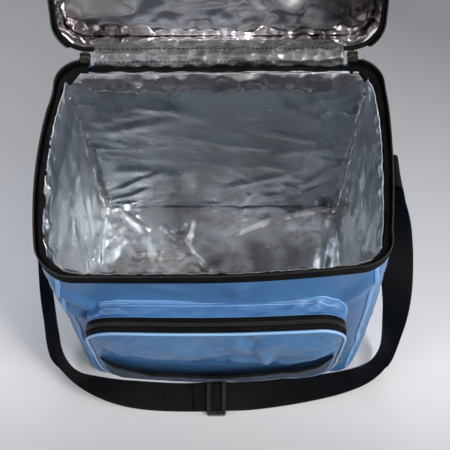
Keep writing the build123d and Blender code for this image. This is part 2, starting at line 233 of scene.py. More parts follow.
def make_piece(name, points, faces, material, body="bag", stands_for=(), slot=None, uv=None):
    """A mesh object from points in millimetres, riding on a body. Its slot argument is not used."""
    mesh = bpy.data.meshes.new(name)
    mesh.from_pydata((np.asarray(points).reshape(-1, 3) * MM).tolist(), [], faces)
    if uv is not None:
        layer = mesh.uv_layers.new(name="UVMap")
        corners = np.zeros(len(mesh.loops), int)
        mesh.loops.foreach_get("vertex_index", corners)
        layer.data.foreach_set("uv", (np.asarray(uv).reshape(-1, 2)[corners] * MM).ravel())
    mesh.validate()
    mesh.materials.append(material)
    mesh.polygons.foreach_set("use_smooth", [True] * len(mesh.polygons))
    mesh.update()
    piece = bpy.data.objects.new(name, mesh)
    bpy.context.collection.objects.link(piece)
    if body:
        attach(piece, body)
    if stands_for:
        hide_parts(*stands_for)
    return piece


def grid_faces(rows, columns, wrap=False, wrap_rows=False):
    faces = []
    last_column = columns if wrap else columns - 1
    last_row = rows if wrap_rows else rows - 1
    for r in range(last_row):
        r2 = (r + 1) % rows
        for c in range(last_column):
            c2 = (c + 1) % columns
            faces.append((r * columns + c, r * columns + c2, r2 * columns + c2, r2 * columns + c))
    return faces


def slab_faces(rows, columns):
    """Faces that close two grids of points, a low one and a high one, into a slab."""
    size = rows * columns
    low = [tuple(reversed(face)) for face in grid_faces(rows, columns)]
    high = [tuple(k + size for k in face) for face in grid_faces(rows, columns)]
    border = list(range(columns)) + [r * columns + columns - 1 for r in range(1, rows)]
    border += [(rows - 1) * columns + k for k in range(columns - 2, -1, -1)]
    border += [r * columns for r in range(rows - 2, 0, -1)]
    sides = [(a, b, b + size, a + size) for a, b in zip(border, border[1:] + border[:1])]
    return low + high + sides


def thicken(piece, thickness, offset=0):
    """Gives a sheet its thickness, on both its sides or, with offset -1, behind its surface only."""
    solid = piece.modifiers.new("thickness", "SOLIDIFY")
    solid.thickness = thickness * MM
    solid.offset = offset


def grid_piece(name, points, material, wrap=False, wrap_rows=False, caps=False, thickness=0, **more):
    """A grid of points as a surface, given a thickness if it is a sheet."""
    rows, columns = points.shape[:2]
    faces = grid_faces(rows, columns, wrap, wrap_rows)
    if caps:
        faces.append(tuple(r * columns for r in range(rows)))
        faces.append(tuple(r * columns + columns - 1 for r in reversed(range(rows))))
    piece = make_piece(name, points, faces, material, **more)
    if thickness:
        thicken(piece, thickness)
    return piece


def capsules(name, starts, ends, sideways, radius, material, flat=1.0, **more):
    """Many small rounded bars, such as stitches or the turns of a zip's coil."""
    starts = np.asarray(starts, float)
    ends = np.asarray(ends, float)
    run = ends - starts
    length = np.linalg.norm(run, axis=1, keepdims=True)
    run = run / length
    side = sideways - run * np.sum(sideways * run, axis=1, keepdims=True)
    side = side / np.linalg.norm(side, axis=1, keepdims=True)
    other = np.cross(run, side)
    rings = [(0.0, 0.35), (0.12, 0.85), (0.5, 1.0), (0.88, 0.85), (1.0, 0.35)]
    sides = 6
    points = []
    for share, size in rings:
        for k in range(sides):
            angle = 2 * math.pi * k / sides
            offset = side * math.cos(angle) * radius * size + other * math.sin(angle) * radius * size * flat
            points.append(starts + run * length * share + offset)
    points = np.stack(points, axis=1)
    count = len(rings) * sides
    faces = []
    for n in range(len(starts)):
        base = n * count
        for r in range(len(rings) - 1):
            for k in range(sides):
                k2 = (k + 1) % sides
                a = base + r * sides
                faces.append((a + k, a + k2, a + sides + k2, a + sides + k))
        faces.append(tuple(base + k for k in reversed(range(sides))))
        faces.append(tuple(base + (len(rings) - 1) * sides + k for k in range(sides)))
    return make_piece(name, points, faces, material, **more)


def along(path, pitch, *fields):
    """The path and the fields beside it, read at equal steps of its length."""
    runs = np.linalg.norm(np.diff(path, axis=0), axis=1)
    reached = np.concatenate([[0], np.cumsum(runs)])
    count = max(2, int(reached[-1] / pitch) + 1)
    wanted = np.linspace(0, reached[-1], count)
    read = []
    for field in (path, *fields):
        read.append(np.stack([np.interp(wanted, reached, field[:, k]) for k in range(3)], axis=1))
    return read


def stitch_row(name, path, outward, pitch, material, radius=0.35, fill=0.62, lift=0.15, **more):
    """A row of stitches that lies on a surface along a path."""
    places, normals = along(path, pitch, outward)
    normals = normals / np.linalg.norm(normals, axis=1, keepdims=True)
    ahead = np.gradient(places, axis=0)
    starts = places + normals * lift
    ends = starts + ahead * fill
    sideways = np.cross(ahead, normals)
    return capsules(name, starts[:-1], ends[:-1], sideways[:-1], radius, material, flat=0.8, **more)


def coil_row(name, path, across, pitch, half_width, radius, material, **more):
    """One side of a zip's coil: a turn across the tape's edge at every pitch."""
    places, sideways = along(path, pitch, across)
    sideways = sideways / np.linalg.norm(sideways, axis=1, keepdims=True)
    ahead = np.gradient(places, axis=0)
    lean = ahead * 0.18
    return capsules(name, places - sideways * half_width - lean, places + sideways * half_width + lean,
                    ahead, radius, material, flat=1.35, **more)


def settle(points, held, grow, push, limit=9.0, frames=18):
    """Lets a grid of cloth settle by simulation. held is 1 where it is sewn down; grow is how much
    larger than its frame the cloth was cut; push is the air behind it; limit is how far it may move."""
    rows, columns = points.shape[:2]
    mesh = bpy.data.meshes.new("settling")
    mesh.from_pydata((points.reshape(-1, 3) * MM).tolist(), [], grid_faces(rows, columns))
    cloth_object = bpy.data.objects.new("settling", mesh)
    bpy.context.collection.objects.link(cloth_object)
    group = cloth_object.vertex_groups.new(name="held")
    for index, weight in enumerate(held.ravel()):
        group.add([index], float(weight), "REPLACE")
    cloth = cloth_object.modifiers.new("cloth", "CLOTH")
    settings = cloth.settings
    settings.quality = 7
    settings.mass = 0.05
    settings.tension_stiffness = 25
    settings.compression_stiffness = 25
    settings.shear_stiffness = 12
    settings.bending_stiffness = 0.3
    settings.air_damping = 4
    settings.vertex_group_mass = "held"
    settings.shrink_min = -grow
    settings.shrink_max = -grow
    settings.use_pressure = True
    settings.uniform_pressure_force = push
    settings.effector_weights.gravity = 0
    cloth.collision_settings.use_collision = False
    cloth.point_cache.frame_start = 1
    cloth.point_cache.frame_end = frames
    scene = bpy.context.scene
    for frame_number in range(1, frames + 1):
        scene.frame_set(frame_number)
    settled = cloth_object.evaluated_get(bpy.context.evaluated_depsgraph_get()).to_mesh()
    flat = np.zeros(rows * columns * 3)
    settled.vertices.foreach_get("co", flat)
    moved = flat.reshape(points.shape) / MM - points
    bpy.data.objects.remove(cloth_object)
    scene.frame_set(1)
    far = np.linalg.norm(moved, axis=-1, keepdims=True)
    return points + moved * np.minimum(1, limit / np.maximum(far, 1e-6))


# ---- materials
class Nodes:
    """The node tree of a material or of the world, with short calls for what it needs."""

    def __init__(self, name, world=False, **sockets):
        self.made = bpy.data.worlds.new(name) if world else bpy.data.materials.new(name)
        self.made.use_nodes = True
        self.tree = self.made.node_tree
        self.shader = self.tree.nodes["Background" if world else "Principled BSDF"]
        for socket, value in sockets.items():
            self.shader.inputs[socket.replace("_", " ")].default_value = value
        self.heights = []

    def add(self, kind, **values):
        node = self.tree.nodes.new(kind)
        for key, value in values.items():
            if key in node.inputs:
                node.inputs[key].default_value = value
            else:
                setattr(node, key, value)
        return node

    def link(self, source, target):
        self.tree.links.new(source, target)

    def place(self, uv=False, scale=(1, 1, 1), turn=(0, 0, 0)):
        coordinates = self.add("ShaderNodeTexCoord")
        mapping = self.add("ShaderNodeMapping", Scale=scale, Rotation=turn)
        self.link(coordinates.outputs["UV" if uv else "Object"], mapping.inputs["Vector"])
        return mapping.outputs["Vector"]

    def noise(self, scale, detail=3.0, rough=0.5, distortion=0.0):
        node = self.add("ShaderNodeTexNoise", Scale=scale, Detail=detail, Roughness=rough,
                        Distortion=distortion)
        self.link(self.place(), node.inputs["Vector"])
        return node.outputs["Fac"]

    def facets(self, scale, bend=0.012):
        """Small hollows between sharp creases, bent so that they do not look like cells."""
        wander = self.add("ShaderNodeTexNoise", Scale=scale * 0.5, Detail=2.0)
        place = self.place(scale=(1, 1, 0.6))
        self.link(place, wander.inputs["Vector"])
        shift = self.add("ShaderNodeVectorMath", operation="MULTIPLY_ADD")
        self.link(wander.outputs["Color"], shift.inputs[0])
        shift.inputs[1].default_value = (bend, bend, bend)
        self.link(place, shift.inputs[2])
        node = self.add("ShaderNodeTexVoronoi", Scale=scale)
        self.link(shift.outputs["Vector"], node.inputs["Vector"])
        hollow = self.add("ShaderNodeMath", operation="POWER")
        self.link(node.outputs["Distance"], hollow.inputs[0])
        hollow.inputs[1].default_value = 2.0
        return hollow.outputs[0]

    def bands(self, pitch, direction="X", distortion=0.0, **where):
        """Stripes with one crest every pitch, in metres."""
        node = self.add("ShaderNodeTexWave", bands_direction=direction, Scale=math.pi / 10 / pitch,
                        Distortion=distortion)
        self.link(self.place(**where), node.inputs["Vector"])
        return node.outputs["Fac"]

    def remap(self, value, low, high, start=0.3, end=0.7):
        node = self.add("ShaderNodeMapRange")
        node.inputs["From Min"].default_value = start
        node.inputs["From Max"].default_value = end
        node.inputs["To Min"].default_value = low
        node.inputs["To Max"].default_value = high
        self.link(value, node.inputs["Value"])
        return node.outputs["Result"]

    def blend(self, value, first, second):
        """Mixes two colours. A Mix node's colours are its inputs 6 and 7 and its output 2."""
        node = self.add("ShaderNodeMix", data_type="RGBA")
        self.link(value, node.inputs["Factor"])
        for index, colour in ((6, first), (7, second)):
            if isinstance(colour, tuple):
                node.inputs[index].default_value = (*colour, 1)
            else:
                self.link(colour, node.inputs[index])
        return node.outputs[2]

    def colour(self, socket):
        self.link(socket, self.shader.inputs["Base Color"])

    def mottle(self, dark, light, scale, detail=4.0, distortion=0.0, start=0.3, end=0.7):
        """Noise between two colours, as a colour."""
        noise_value = self.noise(scale, detail, distortion=distortion)
        return self.blend(self.remap(noise_value, 0, 1, start, end), dark, light)

    def roughness(self, low, high, *noise_settings):
        value = self.remap(self.noise(*noise_settings), low, high)
        self.link(value, self.shader.inputs["Roughness"])

    def bump(self, value, distance, strength=1.0):
        """Adds a layer of relief, with its depth in metres."""
        node = self.add("ShaderNodeBump", Strength=strength, Distance=distance)
        self.link(value, node.inputs["Height"])
        if self.heights:
            self.link(self.heights[-1].outputs["Normal"], node.inputs["Normal"])
        self.heights.append(node)
        self.link(node.outputs["Normal"], self.shader.inputs["Normal"])


def nylon(name, dark, light, rough=(0.36, 0.46)):
    """Coated woven nylon: a fine plain weave under a soft sheen, a little scuffed."""
    n = Nodes(name, Specular_IOR_Level=0.6, Coat_Weight=0.1, Coat_Roughness=0.25)
    n.colour(n.mottle(dark, light, 9.0))
    n.roughness(*rough, 60.0, 5.0)
    n.bump(n.noise(36.0, detail=2.0), 0.0006, 0.2)
    n.bump(n.bands(0.0009, "X"), 0.00006, 0.5)
    n.bump(n.bands(0.0009, "Z"), 0.00006, 0.5)
    return n.made


def foil(name, dark, light, rough=(0.22, 0.4), crinkle=1.0, patches=(7.0, 0.0, 0.3, 0.7)):
    """Heat-sealed metal foil: satin, with fine crinkles over its larger folds. Its colour is mottled in
    patches, and the strong patches of the floor and lid foils are painted reflections.
    """
    n = Nodes(name, Metallic=1.0, Specular_IOR_Level=0.6)
    size, swirl, start, end = patches
    n.colour(n.mottle(dark, light, size, 3.0, swirl, start, end))
    n.roughness(*rough, 30.0, 6.0, 0.6)
    n.bump(n.noise(30.0, detail=3.0, rough=0.5, distortion=0.4), 0.0018, 0.5 * crinkle)
    n.bump(n.facets(62.0), 0.0034, 0.35 * crinkle)
    return n.made


def tape(name, colour, pitch=0.0012, direction="X"):
    """Woven black tape with a fine cross rib."""
    n = Nodes(name, Specular_IOR_Level=0.07)
    lighter = tuple(c * 1.9 + 0.002 for c in colour)
    n.colour(n.mottle(colour, lighter, 55.0))
    n.roughness(0.65, 0.85, 140.0)
    n.bump(n.bands(pitch, direction), 0.00012, 0.6)
    n.bump(n.noise(600.0, detail=2.0), 0.0001, 0.4)
    return n.made


def webbing_cloth(name):
    """Black polypropylene webbing: lengthwise yarns between cross ribs, with UVs along and across it."""
    n = Nodes(name, Specular_IOR_Level=0.1)
    yarns = n.bands(0.0016, "Y", uv=True)
    ribs = n.bands(0.0026, "X", distortion=0.6, uv=True)
    base = n.mottle((0.003, 0.003, 0.0032), (0.006, 0.006, 0.0064), 25.0)
    n.colour(n.blend(n.remap(ribs, 0, 1, 0.2, 1.0), base, (0.010, 0.010, 0.0104)))
    n.roughness(0.5, 0.7, 200.0)
    n.bump(yarns, 0.00015, 0.5)
    n.bump(ribs, 0.00025, 0.5)
    return n.made


def plain(name, dark, light, rough, **sockets):
    """Metal, plastic, foam or thread with a slight mottle and grain."""
    n = Nodes(name, **sockets)
    n.colour(n.mottle(dark, light, 120.0))
    n.roughness(rough * 0.8, rough * 1.25, 240.0)
    n.bump(n.noise(960.0, detail=2.0), 0.00005, 0.5)
    return n.made


def net(name):
    """Dark knitted net with small holes."""
    n = Nodes(name, Specular_IOR_Level=0.3, Roughness=0.65)
    n.colour(n.mottle((0.022, 0.038, 0.07), (0.05, 0.078, 0.13), 40.0, 3.0))
    one = n.bands(0.0017, "X", turn=(0, math.radians(30), 0))
    two = n.bands(0.0017, "X", turn=(0, math.radians(-30), 0))
    cords = n.add("ShaderNodeMath", operation="MAXIMUM")
    n.link(one, cords.inputs[0])
    n.link(two, cords.inputs[1])
    n.link(n.remap(cords.outputs[0], 0.5, 1.0, 0.45, 0.75), n.shader.inputs["Alpha"])
    n.bump(cords.outputs[0], 0.0003, 0.6)
    return n.made


blue = nylon("blue_nylon", (0.050, 0.152, 0.34), (0.070, 0.195, 0.41))
blue_seam = nylon("blue_seam_nylon", (0.12, 0.30, 0.60), (0.20, 0.42, 0.74), rough=(0.3, 0.45))
blue_piping = nylon("light_blue_piping", (0.20, 0.40, 0.68), (0.30, 0.52, 0.78), rough=(0.3, 0.45))
foil_wall = foil("foil_lining", (0.60, 0.65, 0.705), (0.80, 0.85, 0.90), rough=(0.24, 0.36), crinkle=0.5)
# The floor foil's strong dark and bright colour patches are painted reflections.
foil_floor = foil("foil_floor", (0.21, 0.20, 0.197), (0.86, 0.84, 0.82), rough=(0.16, 0.28), crinkle=0.5,
                  patches=(11.0, 0.6, 0.38, 0.6))
# The lid foil's dark pinkish-brown and bright white colour patches are painted reflections of a dark and
# bright room.
foil_lid = foil("foil_lid", (0.24, 0.21, 0.215), (1.0, 0.97, 0.98), rough=(0.13, 0.22), crinkle=0.35,
                patches=(9.0, 1.0, 0.38, 0.56))
foil_strip = foil("foil_hinge_strip", (0.28, 0.27, 0.275), (0.46, 0.445, 0.45), rough=(0.2, 0.32),
                  crinkle=0.5)
foil_hem = foil("foil_hem", (0.60, 0.56, 0.56), (0.78, 0.75, 0.75), rough=(0.22, 0.34), crinkle=1.2)
foam_white = plain("closed_cell_foam", (0.72, 0.72, 0.70), (0.82, 0.82, 0.80), 0.8)
black_tape = tape("black_binding_tape", (0.0035, 0.0035, 0.0037))
zip_tape = tape("zip_tape", (0.003, 0.003, 0.0032), pitch=0.0009, direction="Z")
coil_plastic = plain("zip_coil_plastic", (0.010, 0.007, 0.006), (0.030, 0.019, 0.015), 0.4)
webbing = webbing_cloth("ribbed_webbing")
dark_thread = plain("dark_thread", (0.01, 0.01, 0.012), (0.03, 0.03, 0.035), 0.6)
blue_thread = plain("blue_thread", (0.30, 0.48, 0.72), (0.42, 0.60, 0.84), 0.5)
slider_metal = plain("slider_metal", (0.16, 0.15, 0.11), (0.26, 0.24, 0.18), 0.34, Metallic=0.9)
glide_plastic = plain("glide_plastic", (0.016, 0.016, 0.017), (0.034, 0.034, 0.036), 0.3)
mesh_net = net("pocket_net")

# ---- camera
camera_place = (0.004, -0.391, 0.982)
look_down = 64.55
camera_data = bpy.data.cameras.new("camera")
camera_data.lens = 72
camera_data.sensor_width = 36
camera = bpy.data.objects.new("camera", camera_data)
bpy.context.collection.objects.link(camera)
pitch = math.radians(90 - look_down)
yaw = math.radians(-0.14)
roll = math.radians(-0.18)
turn = Matrix.Rotation(yaw, 4, "Z") @ Matrix.Rotation(pitch, 4, "X") @ Matrix.Rotation(roll, 4, "Z")
camera.matrix_world = Matrix.Translation(camera_place) @ turn
bpy.context.scene.camera = camera

# ---- shoulder strap
# A point of the centre line, in metres, and the direction of the webbing's outer edge there.
strap_right_route = [
    ((0.1534, 0, 0.262), (0, -1, 0)),
    ((0.1542, 0, 0.272), (0, -1, 0)),
    ((0.1610, 0, 0.274), (0, -1, 0)),
    ((0.1640, -0.001, 0.262), (0.1, -1, 0)),
    ((0.1655, -0.005, 0.243), (0.3, -1, 0)),
    ((0.1680, -0.013, 0.219), (0.65, -0.8, 0)),
    ((0.1710, -0.023, 0.190), (0.9, -0.45, 0)),
    ((0.1780, -0.042, 0.146), (1, -0.1, 0)),
    ((0.1830, -0.065, 0.097), (0.75, -0.64, 0.19)),
    ((0.1825, -0.0774, 0.0653), (0.5, -0.8, 0.33)),
    ((0.1825, -0.0862, 0.040), (0.3, -0.8, 0.5)),
    ((0.1815, -0.0928, 0.0245), (0.2, -0.65, 0.7)),
    ((0.1770, -0.0995, 0.0156), (0.3, -0.5, 0.8)),
    ((0.1680, -0.1075, 0.013), (0.37, -0.55, 0.72)),
    ((0.1540, -0.1153, 0.011), (0.28, -0.74, 0.6)),
    ((0.1305, -0.1218, 0.0083), (0.15, -0.88, 0.45)),
    ((0.0985, -0.1269, 0.0054), (0.1, -0.95, 0.28)),
    ((0.0665, -0.1306, 0.0028), (0.06, -0.97, 0.12)),
    ((0.0320, -0.1340, 0.0013), (0.04, -1, 0)),
    ((0.0110, -0.1353, 0.0042), (0, -1, 0)),
    ((-0.0120, -0.1351, 0.0043), (0, -1, 0)),
    ((-0.0230, -0.1353, 0.0035), (0, -1, 0)),
    ((-0.0310, -0.1357, 0.0029), (0, -1, 0)),
]
strap_left_route = [
    ((-0.1534, 0, 0.262), (0, -1, 0)),
    ((-0.1542, 0, 0.272), (0, -1, 0)),
    ((-0.1610, 0, 0.274), (0, -1, 0)),
    ((-0.1650, -0.001, 0.262), (0, -1, 0)),
    ((-0.1685, -0.006, 0.241), (0, -1, 0.1)),
    ((-0.1715, -0.018, 0.212), (0, -1, 0.2)),
    ((-0.1740, -0.036, 0.175), (-0.1, -1, 0.3)),
    ((-0.1770, -0.054, 0.134), (-0.2, -1, 0.4)),
    ((-0.1790, -0.069, 0.092), (-0.2, -1, 0.5)),
    ((-0.1820, -0.081, 0.054), (-0.2, -0.8, 0.8)),
    ((-0.1800, -0.095, 0.026), (-0.2, -0.4, 0.95)),
    ((-0.1660, -0.112, 0.017), (-0.2, -0.4, 0.95)),
    ((-0.1440, -0.123, 0.0135), (-0.3, -0.7, 0.7)),
    ((-0.1170, -0.1295, 0.0058), (-0.15, -0.95, 0.35)),
    ((-0.0860, -0.1330, 0.0014), (-0.05, -1, 0)),
    ((-0.0540, -0.1350, 0.0011), (0, -1, 0)),
    ((-0.0300, -0.1352, 0.0012), (0, -1, 0)),
    ((-0.0190, -0.1351, 0.0013), (0, -1, 0)),
    ((-0.0100, -0.1353, 0.0027), (0, -1, 0)),
    ((-0.0040, -0.1352, 0.0027), (0, -1, 0)),
]


def spline_points(points):
    """Points read from the smooth NURBS spline that has the given control points, in metres."""
    data = bpy.data.curves.new("route", "CURVE")
    data.dimensions = "3D"
    spline = data.splines.new("NURBS")
    spline.points.add(len(points) - 1)
    for control, point in zip(spline.points, points):
        control.co = (*point, 1)
    spline.order_u = 3
    spline.use_endpoint_u = True
    spline.resolution_u = 16
    curve = bpy.data.objects.new("route", data)
    bpy.context.collection.objects.link(curve)
    bpy.context.view_layer.update()
    mesh = bpy.data.meshes.new_from_object(curve)
    read = np.array([vertex.co for vertex in mesh.vertices])
    bpy.data.objects.remove(curve)
    bpy.data.meshes.remove(mesh)
    return read


def strap(name, route):
    """A ribbed flat webbing along a route, turned by its edge directions."""
    centres = spline_points([point for point, _ in route])
    reach = strap_width / 2 * MM
    edge_points = [np.array(point) + reach * np.array(edge) / np.linalg.norm(edge) for point, edge in route]
    edges = spline_points(edge_points) - centres
    centre, edge = along(centres / MM, strap_step, edges / MM)
    ahead = np.gradient(centre, axis=0)
    ahead = ahead / np.linalg.norm(ahead, axis=1, keepdims=True)
    edge = edge - ahead * np.sum(edge * ahead, axis=1, keepdims=True)
    edge = edge / np.linalg.norm(edge, axis=1, keepdims=True)
    face = np.cross(ahead, edge)
    reached = np.arange(len(centre)) * strap_step
    wave = np.sin(2 * math.pi * reached / rib_pitch)
    half = strap_width / 2
    flat = strap_thickness / 2
    low_flat = 0.75 * flat
    section = [(-half, 0), (-half + 0.5, low_flat), (-half + 2, flat), (-half * 0.6, flat),
               (-half * 0.3, flat), (0, flat), (half * 0.3, flat), (half * 0.6, flat), (half - 2, flat),
               (half - 0.5, low_flat),
               (half, 0), (half - 0.5, -low_flat), (half - 2, -flat), (half * 0.3, -flat),
               (-half * 0.3, -flat), (-half + 2, -flat), (-half + 0.5, -low_flat)]
    rows = []
    uv = []
    for across, out in section:
        inner = abs(across) < half - 1
        relief = np.sign(out) * (0.13 if inner else 0.052) * wave
        edge_wave = 0 * wave if inner else 0.15 * np.sign(across) * wave
        rows.append(centre + edge * (across + edge_wave)[:, None] + face * (out + relief)[:, None])
        uv.append(np.stack([reached, np.full(len(reached), across)], axis=1))
    points = np.stack(rows)
    points[..., 2] = np.maximum(points[..., 2], 0.25)
    piece = grid_piece(name, points, webbing, wrap_rows=True, caps=True, body=None, uv=np.stack(uv))
    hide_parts(name)
    return piece, centres


left_strap, left_line = strap("strap_left", strap_left_route)
right_strap, right_line = strap("strap_right", strap_right_route)
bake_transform(left_strap)
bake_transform(right_strap)


# ---- outlines
def rounded_path(centres, angle, side_points, corner_steps):
    """Anchors and outward directions clockwise round a shape, from the middle of its first side, which
    faces the given angle. centres are those of its corner arcs; side_points gives how many points
    lie between two of them."""
    middle = (0, centres[0][1])
    anchors = []
    outward = []
    for start, end in zip([middle, *centres], [*centres, middle]):
        facing = (round(math.cos(math.radians(angle))), round(math.sin(math.radians(angle))))
        count = side_points(start, end)
        for i in range(count):
            anchors.append([start[k] + (end[k] - start[k]) * i / count for k in (0, 1)])
            outward.append(facing)
        for i in range(0 if end is middle else corner_steps):
            a = math.radians(angle - 90 * i / corner_steps)
            anchors.append(end)
            outward.append((math.cos(a), math.sin(a)))
        angle -= 90
    return np.array(anchors, float), np.array(outward, float)


def outline(wide, deep, radius, gap=None, step=3.5, corner_steps=10):
    """Anchors and outward directions round a rounded rectangle, clockwise from the back's middle.
    Outlines with the same step and corner steps have the same number of points. A gap leaves out
    that much of the line on both sides of the back's middle."""
    def side_points(start, end):
        whole = half_x if start[1] == end[1] else half_y
        halves = 1 if 0 in (start[0], end[0]) else 2
        return round(halves * whole / step)

    cx = wide - radius
    cy = deep - radius
    centres = [(cx, cy), (cx, -cy), (-cx, -cy), (-cx, cy)]
    anchors, outward = rounded_path(centres, 90, side_points, corner_steps)
    if gap is not None:
        plan = anchors + radius * outward
        reached = np.concatenate([[0], np.cumsum(np.linalg.norm(np.diff(plan, axis=0), axis=1))])
        inside = np.where((reached >= gap) & (reached <= reached[-1] + step - gap))[0]
        anchors = anchors[inside]
        outward = outward[inside]
    return anchors, outward, radius


def ring_points(path, profile):
    """Rows of points round an outline, one row for each (inset, height)."""
    anchors, outward, radius = path
    rows = []
    for inset, z in profile:
        plan = anchors + (radius - inset) * outward
        rows.append(np.column_stack([plan, np.full(len(plan), float(z))]))
    return np.stack(rows)


def ring_outward(path, rows):
    """The outward directions for so many rows of points round an outline."""
    outward = np.column_stack([path[1], np.zeros(len(path[1]))])
    return np.broadcast_to(outward, (rows, *outward.shape))


def steps(start, end, size):
    """Even steps from start to end, of about the given size."""
    count = max(2, round(abs(end - start) / size) + 1)
    return np.linspace(start, end, count)


# ---- outer shell
shell_path = outline(half_x, half_y, body_radius)
round_low = [(6 - 6 * math.sin(a), 6.2 - 6 * math.cos(a)) for a in np.linspace(0, math.pi / 2, 6)]
shell_profile = round_low + [(0, z) for z in steps(9.5, 284.5, 3.5)]
shell = ring_points(shell_path, shell_profile)
out = ring_outward(shell_path, len(shell_profile))
x, y, z = shell[..., 0], shell[..., 1], shell[..., 2]
edge_free = smooth((z - 6) / 20) * smooth((284 - z) / 18)
deepest_dent = -2.2
corner_near = near(np.hypot(np.abs(x) - half_x, np.abs(y) - half_y) - 8, 22)
lumps = 2.3 * rumple(shell, (95, 95, 75), 1) + 0.5 * corner_near * rumple(shell, (60, 60, 16), 2)
lumps += 0.9 * corner_near * creases(shell, (70, 70, 42), 3, 4)
on_front = smooth((-y - 95) / 10)
lumps += on_front * folds(x, z,
    ((-146, 270), (-106, 206), 6, 6.0), ((-146, 240), (-116, 178), 5, 5.0),
    ((-142, 160), (-124, 60), 5, 3.0), ((143, 272), (112, 222), 7, 5.0), ((140, 130), (118, 60), 6, 2.8),
    ((24, 282), (8, 246), 8, 3.6), ((-70, 274), (-20, 250), 9, 2.6))
on_side = smooth((np.abs(x) - 138) / 10)
lumps += on_side * folds(y, z,
    ((-84, 236), (34, 128), 9, 3.2), ((-84, 120), (10, 40), 8, 2.6), ((80, 256), (-10, 70), 10, 2.8))
on_back = smooth((y - 95) / 10)
lumps += on_back * folds(x, z,
    ((-130, 250), (40, 150), 10, 3.0), ((130, 216), (10, 60), 10, 2.8))
shell = soften(shell) + out * (np.maximum(lumps, deepest_dent) * edge_free)[..., None]
grid_piece("shell_walls", shell, blue, wrap=True, thickness=0.9,
           stands_for=["shell_front", "shell_back", "shell_left", "shell_right"])

base_outline = soften(ring_points(shell_path, [(6, 0.3), (9, 0.3), (22, 0.3)]))
count = base_outline.shape[1]
base_faces = grid_faces(3, count, wrap=True) + [tuple(2 * count + k for k in range(count))]
base_piece = make_piece("shell_base", base_outline + [0, 0, 0.3], base_faces, blue,
                        stands_for=["shell_bottom"])
thicken(base_piece, 0.5, offset=-1)


def wall_line(x_at, sign, lift):
    """A line up the front (sign -1) or back (sign 1) wall, with the wall's outward direction."""
    plan = ring_points(shell_path, [(0, 0)])[0]
    candidates = np.where(sign * plan[:, 1] > half_y - 20)[0]
    column = candidates[np.argmin(np.abs(plan[candidates, 0] - x_at))]
    outward = np.array([*shell_path[1][column], 0.0])
    line = shell[7:-2, column] + outward * lift
    return line, np.broadcast_to(outward, line.shape)


def ridge(name, path, outward, width, height, material, **more):
    """A flat raised seam allowance along a path."""
    ahead = np.gradient(path, axis=0)
    ahead = ahead / np.linalg.norm(ahead, axis=1, keepdims=True)
    side = np.cross(ahead, outward)
    section = [(-0.5, -0.4), (-0.46, 0.6), (-0.3, 1.0), (0, 1.05), (0.3, 1.0), (0.46, 0.6), (0.5, -0.4)]
    rows = [path + side * width * a + outward * height * b for a, b in section]
    return grid_piece(name, np.stack(rows), material, wrap_rows=True, caps=True, **more)


for label, sign, x_at in (("front_left", -1, -136), ("front_right", -1, 136), ("back_left", 1, -136),
                          ("back_right", 1, 136)):
    line, outs = wall_line(x_at, sign, 0.4)
    ridge(f"corner_seam_{label}", line, outs, 5.0, 1.1, blue_seam)
    stitch_row(f"corner_stitches_{label}", line + outs * 1.2, outs, stitch_pitch, blue_thread, radius=0.3)

# ---- foam
foam_inside_path = outline(half_x - 5.8, half_y - 5.8, 8.0)
foam_outside = ring_points(shell_path, [(3.2, 7), (3.2, 120), (3.2, 240), (3.2, 276)])
foam_inside = ring_points(foam_inside_path, [(0, 276), (0, 262), (0, 240), (0, 120), (0, 7)])
foam_inside += pinch(foam_inside) * smooth((foam_inside[..., 2:] - 240) / 40)
foam_points = soften(np.concatenate([foam_outside, foam_inside]))
grid_piece("foam_walls", foam_points, foam_white, wrap=True, wrap_rows=True,
           stands_for=["foam_front", "foam_back", "foam_left", "foam_right"])
floor_ring = ring_points(shell_path, [(6.4, 1.3), (6.4, 5.6)])
count = floor_ring.shape[1]
floor_faces = grid_faces(2, count, wrap=True)
floor_faces += [tuple(reversed(range(count))), tuple(range(count, 2 * count))]
make_piece("foam_floor", soften(floor_ring), floor_faces, foam_white, stands_for=["foam_bottom"])

# ---- lining
lining_x = half_x - lining_inset
lining_y = half_y - lining_inset
lining_path = outline(lining_x, lining_y, lining_radius, step=2.1, corner_steps=8)
lining_profile = [(0, height) for height in steps(floor_top - 1, lining_top, 2.2)]
lining = ring_points(lining_path, lining_profile)
inward = -ring_outward(lining_path, len(lining_profile))
x, y, z = lining[..., 0], lining[..., 1], lining[..., 2]
from_corner = np.hypot(np.abs(x) - lining_x, np.abs(y) - lining_y)
from_floor = z - floor_top
from_rim = lining_top - z
puff = 2.0 * (1 - near(from_corner, 16)) * (1 - near(from_floor, 14)) * (1 - near(from_rim, 20))
puckers = 2.6 * near(from_corner, 9) * crumple(lining, (24, 24, 12), 5)
puckers += 9.0 * near(from_corner, 24) * near(from_floor, 30) * crumple(lining, (11, 11, 9), 55)
puckers += 2.0 * near(from_floor, 8) * crumple(lining, (16, 16, 30), 6)
back_hem = smooth((y - lining_y + 3) / 3) * smooth((25 - from_rim) / 4)
puckers += (1 - back_hem) * near(from_rim - 7, 5) * (1.0 + 3.6 * crumple(lining, (8, 8, 11), 7))
back_right = near(np.hypot(x - lining_x, y - lining_y) - 6, 18)
puckers += 5.5 * near(from_rim, 90) * back_right * crumple(lining, (18, 18, 14), 58)
on_sides = smooth((np.abs(x) - lining_x + 4) / 4)
slanted = lining @ np.array([[0.86, 0.0, 0.5], [0.0, 1.0, 0.0], [-0.5, 0.0, 0.86]])
soft_waves = 1.5 * rumple(lining, (80, 80, 70), 9) + 0.9 * crumple(slanted, (62, 62, 34), 10)
soft_waves += 1.5 * on_sides * rumple(lining, (20, 20, 130), 56)
wrinkles = 0.3 * creases(slanted, (110, 110, 26), 11, 5) + 0.3 * creases(slanted, (60, 60, 24), 12, 6)
on_back = smooth((y - lining_y + 4) / 4)
